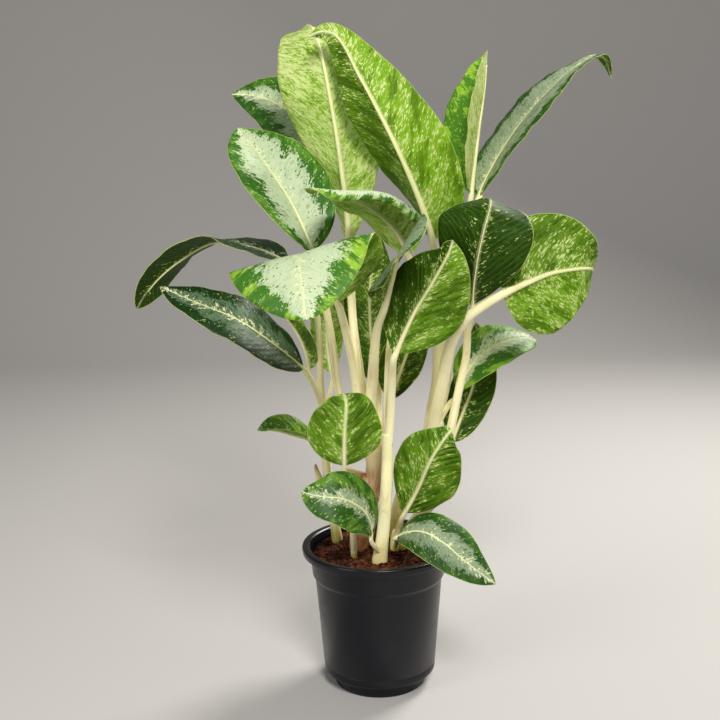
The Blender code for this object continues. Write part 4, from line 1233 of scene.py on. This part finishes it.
def scatter_tree(name, finish, shape):
    """A tree that scatters copies of a small shape over a surface, each turned and sized by chance.
    shape adds the copied geometry to the tree and returns its socket."""
    tree = bpy.data.node_groups.new(name, "GeometryNodeTree")
    for label, kind, default in (
        ("Geometry", "NodeSocketGeometry", None), ("Per Square Metre", "NodeSocketFloat", 1e5),
        ("Least Size", "NodeSocketFloat", 0.5), ("Most Size", "NodeSocketFloat", 1.5),
        ("Tilt", "NodeSocketFloat", 0.4), ("Seed", "NodeSocketInt", 1),
    ):
        socket = tree.interface.new_socket(label, in_out="INPUT", socket_type=kind)
        if default is not None:
            socket.default_value = default
    tree.interface.new_socket("Geometry", in_out="OUTPUT", socket_type="NodeSocketGeometry")

    def node(kind, settings=None, inputs=None):
        made = tree.nodes.new(kind)
        for key, value in (settings or {}).items():
            setattr(made, key, value)
        for key, value in (inputs or {}).items():
            slot = made.inputs[key]
            if isinstance(value, bpy.types.NodeSocket):
                tree.links.new(value, slot)
            else:
                slot.default_value = value
        return made

    given = tree.nodes.new("NodeGroupInput").outputs
    scattered = node(
        "GeometryNodeDistributePointsOnFaces", {"distribute_method": "RANDOM"},
        {"Mesh": given["Geometry"], "Density": given["Per Square Metre"], "Seed": given["Seed"]},
    )
    turn = node(
        "FunctionNodeRandomValue", {"data_type": "FLOAT_VECTOR"},
        {"Min": (-1.0, -1.0, -math.pi), "Max": (1.0, 1.0, math.pi), "Seed": 3},
    ).outputs[0]
    tilted = node("ShaderNodeCombineXYZ", inputs={"X": given["Tilt"], "Y": given["Tilt"], "Z": 1.0})
    turned = node("ShaderNodeVectorMath", {"operation": "MULTIPLY"}, {0: turn, 1: tilted.outputs[0]})
    size = node(
        "FunctionNodeRandomValue", {"data_type": "FLOAT"},
        {2: given["Least Size"], 3: given["Most Size"], "Seed": 5},
    ).outputs[1]
    copies = node(
        "GeometryNodeInstanceOnPoints",
        inputs={"Points": scattered.outputs["Points"], "Instance": shape(node),
                "Rotation": turned.outputs[0], "Scale": size},
    )
    shade = node(
        "FunctionNodeRandomValue", {"data_type": "FLOAT"}, {2: 0.0, 3: 1.0, "Seed": 7}
    ).outputs[1]
    stored = node(
        "GeometryNodeStoreNamedAttribute", {"data_type": "FLOAT", "domain": "INSTANCE"},
        {"Geometry": copies.outputs[0], "Name": "shade", "Value": shade},
    )
    real = node("GeometryNodeRealizeInstances", inputs={"Geometry": stored.outputs[0]})
    painted = node(
        "GeometryNodeSetMaterial", inputs={"Geometry": real.outputs[0], "Material": finish}
    )
    out = tree.nodes.new("NodeGroupOutput")
    tree.links.new(painted.outputs[0], out.inputs[0])
    return tree


def crumb(node):
    """A rough lump of peat about two millimetres across."""
    ball = node(
        "GeometryNodeMeshIcoSphere", inputs={"Radius": 0.001, "Subdivisions": 2}
    ).outputs["Mesh"]
    where = node("GeometryNodeInputPosition").outputs[0]
    rough = node("ShaderNodeTexNoise", inputs={"Vector": where, "Scale": 900.0, "Detail": 1.0})
    centred = node(
        "ShaderNodeVectorMath", {"operation": "SUBTRACT"}, {0: rough.outputs["Color"], 1: (0.5,) * 3}
    )
    scaled = node("ShaderNodeVectorMath", {"operation": "SCALE"}, {0: centred.outputs[0]})
    scaled.inputs["Scale"].default_value = 0.0016
    return node(
        "GeometryNodeSetPosition", inputs={"Geometry": ball, "Offset": scaled.outputs[0]}
    ).outputs[0]


def fibre(node):
    """A bent coir fibre about eight millimetres long."""
    bend = node(
        "GeometryNodeCurveQuadraticBezier",
        inputs={"Resolution": 5, "Start": (-0.004, 0.0, 0.0), "Middle": (0.0, 0.0022, 0.0016),
                "End": (0.004, -0.0006, 0.0)},
    ).outputs[0]
    ring = node("GeometryNodeCurvePrimitiveCircle", inputs={"Resolution": 3, "Radius": 0.00014})
    return node(
        "GeometryNodeCurveToMesh",
        inputs={"Curve": bend, "Profile Curve": ring.outputs[0], "Fill Caps": True},
    ).outputs[0]


def soil_top_mesh():
    """The part of the soil's top that crumbs lie on, clear of the pot's wall."""
    steps = np.linspace(-61, 61, 50)
    x, y = np.meshgrid(steps, steps, indexing="ij")
    z = soil_height(x, y)
    index = np.arange(x.size).reshape(x.shape)
    faces = np.stack([index[:-1, :-1], index[1:, :-1], index[1:, 1:], index[:-1, 1:]], axis=2)
    faces = faces.reshape(-1, 4)
    middle_x, middle_y = x.ravel()[faces].mean(axis=1), y.ravel()[faces].mean(axis=1)
    faces = faces[np.hypot(middle_x, middle_y) < 61.0]
    mesh = bpy.data.meshes.new("soil_top")
    mesh.from_pydata(np.column_stack([x.ravel(), y.ravel(), z.ravel()]) * MM, [],
                     [tuple(face) for face in faces])
    return mesh


def scatter(name, tree, values, finish):
    """One scattered piece, made a plain mesh."""
    obj = bpy.data.objects.new(name + "_blank", soil_top_mesh())
    bpy.context.scene.collection.objects.link(obj)
    modifier = obj.modifiers.new("Scatter", "NODES")
    modifier.node_group = tree
    sockets = {item.name: item.identifier for item in tree.interface.items_tree
               if item.item_type == "SOCKET" and item.in_out == "INPUT"}
    for label, value in values.items():
        modifier[sockets[label]] = value
    mesh = plain_mesh(obj)
    mesh.name = name
    point_outwards(mesh)
    add_piece(name, mesh, [finish], [])


def build_crumbs(finish, amount, seed):
    tree = scatter_tree("Soil crumbs", finish, crumb)
    values = {"Per Square Metre": 1.3e5 * amount, "Least Size": 0.5, "Most Size": 3.6, "Tilt": 3.0,
              "Seed": seed}
    scatter("soil_crumbs", tree, values, finish)
    tree = scatter_tree("Soil fibres", finish, fibre)
    values = {"Per Square Metre": 1.3e5 * amount, "Least Size": 0.5, "Most Size": 2.0, "Tilt": 0.6,
              "Seed": seed + 1}
    scatter("soil_fibres", tree, values, finish)


def build_shoots(finish):
    for number, (name, canes) in enumerate(CANES.items()):
        stalks = Stalks()
        for k, cane in enumerate(canes):
            add_cane(stalks, cane, name == "shoot_middle", number * 7.0 + k)
        for k, (leaf_name, leaf) in enumerate(LEAVES.items()):
            if leaf.shoot == name:
                add_petiole(stalks, leaf, LOOKS[leaf_name].rib, k * 5.0 + 1.0)
        add_piece(name + "_stems", stalks.mesh(name + "_stems"), [finish], [name])


def build_blades(top, under):
    for number, (name, leaf) in enumerate(LEAVES.items()):
        blade = Blade(name, leaf, LOOKS[name], number + 1)
        mesh = blade.mesh()
        point_outwards(mesh)
        shown = name.replace("leaf_", "blade_")
        add_piece(shown, mesh, [top, under], [name])


def tint(red, green, blue):
    """A display colour, from 0 to 255, as linear values."""
    return tuple(
        (c / 12.92 if c <= 0.04045 else ((c + 0.055) / 1.055) ** 2.4)
        for c in (red / 255, green / 255, blue / 255)
    )


def colour_property(label, description, *display):
    return bpy.props.FloatVectorProperty(
        name=label, description=description, default=tint(*display), size=3, subtype="COLOR",
        min=0.0, max=1.0,
    )


class LeafColours(bpy.types.PropertyGroup):
    """Colours of the leaves."""

    silver: colour_property("Silver", "Pale middle of the upper side", 214, 228, 188)
    # Dark silver, dark mint and deep green are what a blade's darkness mixes in: partly the darker colours of dark
    # leaves, partly painted shade.
    silver_shade: colour_property("Dark silver", "Pale middle of the dark leaves", 92, 116, 86)
    mint: colour_property("Mint", "Clouds in the silver", 184, 208, 160)
    mint_shade: colour_property("Dark mint", "Clouds in the dark silver", 58, 84, 54)
    margin_green: colour_property("Margin", "Green margin of the upper side", 46, 98, 28)
    fresh_green: colour_property("Fresh green", "Lighter clouds in the green", 84, 142, 42)
    deep_green: colour_property("Deep green", "Green of the dark leaves", 18, 44, 16)
    lime: colour_property("Lime", "Yellow-green near the margins", 160, 200, 56)
    fleck: colour_property("Fleck", "Small pale flecks", 214, 226, 142)
    cream: colour_property("Cream", "Middle rib and its dashes", 246, 244, 196)
    edge: colour_property("Edge", "Thin pale line round the blade", 196, 212, 116)
    under_green: colour_property("Underside", "Green of the underside", 82, 130, 20)
    under_lime: colour_property("Underside lime", "Yellow-green of the underside", 124, 172, 22)
    under_dark: colour_property("Underside dark", "Green of the shaded undersides", 30, 50, 8)
    under_pale: colour_property("Underside pale", "Pale clouds of the underside", 158, 192, 70)
    under_cream: colour_property("Underside cream", "Streaks of the underside", 236, 242, 168)
    glow: colour_property("Glow", "Light that comes through a blade", 176, 216, 40)


class StemColours(bpy.types.PropertyGroup):
    """Colours of the stems."""

    stem_cream: colour_property("Cream", "Main colour", 250, 240, 188)
    stem_ivory: colour_property("Ivory", "Lighter lines", 255, 249, 220)
    stem_blush: colour_property("Blush", "Faint warm blotches", 240, 204, 156)
    stem_green: colour_property("Green", "Towards the blades", 186, 206, 104)
    stem_yellow: colour_property("Yellow", "At the soil", 196, 196, 60)
    stem_brown: colour_property("Brown", "Papery edges and scars", 152, 84, 44)


class PotColours(bpy.types.PropertyGroup):
    """Colours of the pot and the soil."""

    pot_black: colour_property("Plastic", "Satin black", 4, 4, 13)
    pot_dust: colour_property("Dust", "Faint dust and scuffs", 17, 17, 30)
    pot_speck: colour_property("Speck", "Small pale specks", 120, 116, 120)
    # Dark soil: the dark end of each crumb's random tone, and the painted shade in the gaps between crumbs.
    soil_dark: colour_property("Dark soil", "Shaded crumbs", 24, 10, 6)
    soil_light: colour_property("Light soil", "Light crumbs and fibres", 112, 60, 38)
    crumbs: bpy.props.FloatProperty(
        name="Crumbs", description="How many crumbs and fibres lie on the soil", default=1.0,
        min=0.0, max=2.0, subtype="FACTOR",
    )
    seed: bpy.props.IntProperty(
        name="Seed", description="Where the crumbs fall", default=4, min=0
    )


class StageSettings(bpy.types.PropertyGroup):
    """The floor, the lights and the camera."""

    floor: colour_property("Floor", "Colour of the floor and backdrop", 178, 175, 172)
    key_power: bpy.props.FloatProperty(
        name="Key light", description="Power of the large light at the front right", default=50.0,
        min=0.0, unit="POWER",
    )
    back_power: bpy.props.FloatProperty(
        name="Back light", description="Power of the light that shines through the leaves",
        default=34.0, min=0.0, unit="POWER",
    )
    camera_height: bpy.props.FloatProperty(
        name="Camera height", description="Height of the camera above the floor", default=0.54,
        unit="LENGTH",
    )
    camera_distance: bpy.props.FloatProperty(
        name="Camera distance", description="How far the camera stands in front of the pot",
        default=1.07, unit="LENGTH",
    )


def tones(group):
    """The colours of a property group, as plain tuples."""
    return namedtuple("Tones", group.bl_rna.properties.keys()[2:])(*(
        tuple(getattr(group, name)) if hasattr(getattr(group, name), "__len__") else getattr(group, name)
        for name in group.bl_rna.properties.keys()[2:]
    ))


class OBJECT_OT_evergreen_pot(bpy.types.Operator):
    """Build the nursery pot"""

    bl_idname = "object.evergreen_pot"
    bl_label = "Build Pot"

    def execute(self, context):
        build_pot(pot_finish(tones(context.scene.evergreen_pot)))
        return {"FINISHED"}


class OBJECT_OT_evergreen_soil(bpy.types.Operator):
    """Build the soil with its crumbs and fibres"""

    bl_idname = "object.evergreen_soil"
    bl_label = "Build Soil"

    def execute(self, context):
        settings = context.scene.evergreen_pot
        finish = soil_finish(tones(settings))
        build_soil(finish)
        build_crumbs(finish, settings.crumbs, settings.seed)
        return {"FINISHED"}


class OBJECT_OT_evergreen_shoots(bpy.types.Operator):
    """Build the shoots with their petioles and raised ribs"""

    bl_idname = "object.evergreen_shoots"
    bl_label = "Build Shoots"

    def execute(self, context):
        build_shoots(stem_finish(tones(context.scene.evergreen_stems)))
        return {"FINISHED"}


class OBJECT_OT_evergreen_leaves(bpy.types.Operator):
    """Build the leaf blades"""

    bl_idname = "object.evergreen_leaves"
    bl_label = "Build Leaves"

    def execute(self, context):
        colours = tones(context.scene.evergreen_leaves)
        build_blades(leaf_top_finish(colours), leaf_under_finish(colours))
        return {"FINISHED"}


def area_light(name, place, target, size, power, colour):
    light = bpy.data.lights.new(name, "AREA")
    light.shape = "DISK"
    light.size = size
    light.energy = power
    light.color = colour
    obj = bpy.data.objects.new(name, light)
    obj.location = place
    obj.rotation_euler = (Vector(target) - Vector(place)).to_track_quat("-Z", "Y").to_euler()
    bpy.context.scene.collection.objects.link(obj)
    return light


def build_floor(colour):
    """A floor that curves up into a backdrop."""
    curve = [(-5.0, 0.0), (1.6, 0.0)]
    curve += [(1.6 + math.sin(t) * 0.9, 0.9 - math.cos(t) * 0.9) for t in np.linspace(0.1, math.pi / 2, 16)]
    curve += [(2.5, 4.0)]
    points = [(x, y, z) for y, z in curve for x in (-6.0, 6.0)]
    faces = [(2 * k, 2 * k + 1, 2 * k + 3, 2 * k + 2) for k in range(len(curve) - 1)]
    mesh = bpy.data.meshes.new("floor")
    mesh.from_pydata(points, [], faces)
    mesh.shade_smooth()
    finish = Finish("floor")
    finish.set(Base_Color=colour, Roughness=0.8)
    mesh.materials.append(finish.material)
    floor = bpy.data.objects.new("floor", mesh)
    bpy.context.scene.collection.objects.link(floor)


class SCENE_OT_evergreen_stage(bpy.types.Operator):
    """Build the floor, the lights and the camera"""

    bl_idname = "scene.evergreen_stage"
    bl_label = "Build Stage"

    def execute(self, context):
        settings = context.scene.evergreen_stage
        build_floor(tuple(settings.floor))
        area_light("key_light", (0.3, -1.75, 1.75), (0, 0, 0.35), 0.65, settings.key_power, (1.0, 0.98, 0.94))
        back = area_light("back_light", (0.9, 0.9, 1.35), (0, 0, 0.45), 0.7, settings.back_power, (1.0, 0.98, 0.92))
        back.specular_factor = 0.25
        area_light("fill_light", (-1.6, -1.3, 1.1), (0, 0, 0.3), 1.0, settings.key_power * 0.28, (1.0, 0.99, 0.97))
        world = bpy.data.worlds.new("studio")
        world.use_nodes = True
        background = world.node_tree.nodes["Background"]
        background.inputs["Color"].default_value = (0.86, 0.88, 0.92, 1.0)
        background.inputs["Strength"].default_value = 0.2
        context.scene.world = world
        camera_data = bpy.data.cameras.new("camera")
        camera_data.lens = 57.2
        camera_data.sensor_width = 36.0
        camera = bpy.data.objects.new("camera", camera_data)
        camera.location = (-0.015, -settings.camera_distance, settings.camera_height)
        turn = Matrix.Rotation(math.radians(90 - 11.3), 4, "X") @ Matrix.Rotation(-0.016, 4, "Z")
        camera.rotation_euler = turn.to_euler()
        context.scene.collection.objects.link(camera)
        context.scene.camera = camera
        context.scene.view_settings.view_transform = "Standard"
        return {"FINISHED"}


class VIEW3D_PT_evergreen(bpy.types.Panel):
    """Lists the steps that build the plant"""

    bl_label = "Potted Chinese Evergreen"
    bl_idname = "VIEW3D_PT_evergreen"
    bl_space_type = "VIEW_3D"
    bl_region_type = "UI"
    bl_category = "Evergreen"

    def draw(self, context):
        for operator, group in (
            (OBJECT_OT_evergreen_pot, context.scene.evergreen_pot),
            (OBJECT_OT_evergreen_soil, None),
            (OBJECT_OT_evergreen_shoots, context.scene.evergreen_stems),
            (OBJECT_OT_evergreen_leaves, context.scene.evergreen_leaves),
            (SCENE_OT_evergreen_stage, context.scene.evergreen_stage),
        ):
            self.layout.operator(operator.bl_idname)
            for name in group.bl_rna.properties.keys()[2:] if group else []:
                self.layout.prop(group, name)


GROUPS = (
    ("evergreen_leaves", LeafColours),
    ("evergreen_stems", StemColours),
    ("evergreen_pot", PotColours),
    ("evergreen_stage", StageSettings),
)
OPERATORS = (
    OBJECT_OT_evergreen_pot,
    OBJECT_OT_evergreen_soil,
    OBJECT_OT_evergreen_shoots,
    OBJECT_OT_evergreen_leaves,
    SCENE_OT_evergreen_stage,
)


def register():
    for name, group in GROUPS:
        bpy.utils.register_class(group)
        setattr(bpy.types.Scene, name, bpy.props.PointerProperty(type=group))
    for cls in (*OPERATORS, VIEW3D_PT_evergreen):
        bpy.utils.register_class(cls)


def unregister():
    for cls in (VIEW3D_PT_evergreen, *reversed(OPERATORS)):
        bpy.utils.unregister_class(cls)
    for name, group in reversed(GROUPS):
        delattr(bpy.types.Scene, name)
        bpy.utils.unregister_class(group)


def main():
    register()
    bpy.ops.object.evergreen_pot()
    bpy.ops.object.evergreen_soil()
    bpy.ops.object.evergreen_shoots()
    bpy.ops.object.evergreen_leaves()
    bpy.ops.scene.evergreen_stage()


if __name__ == "__main__":
    main()
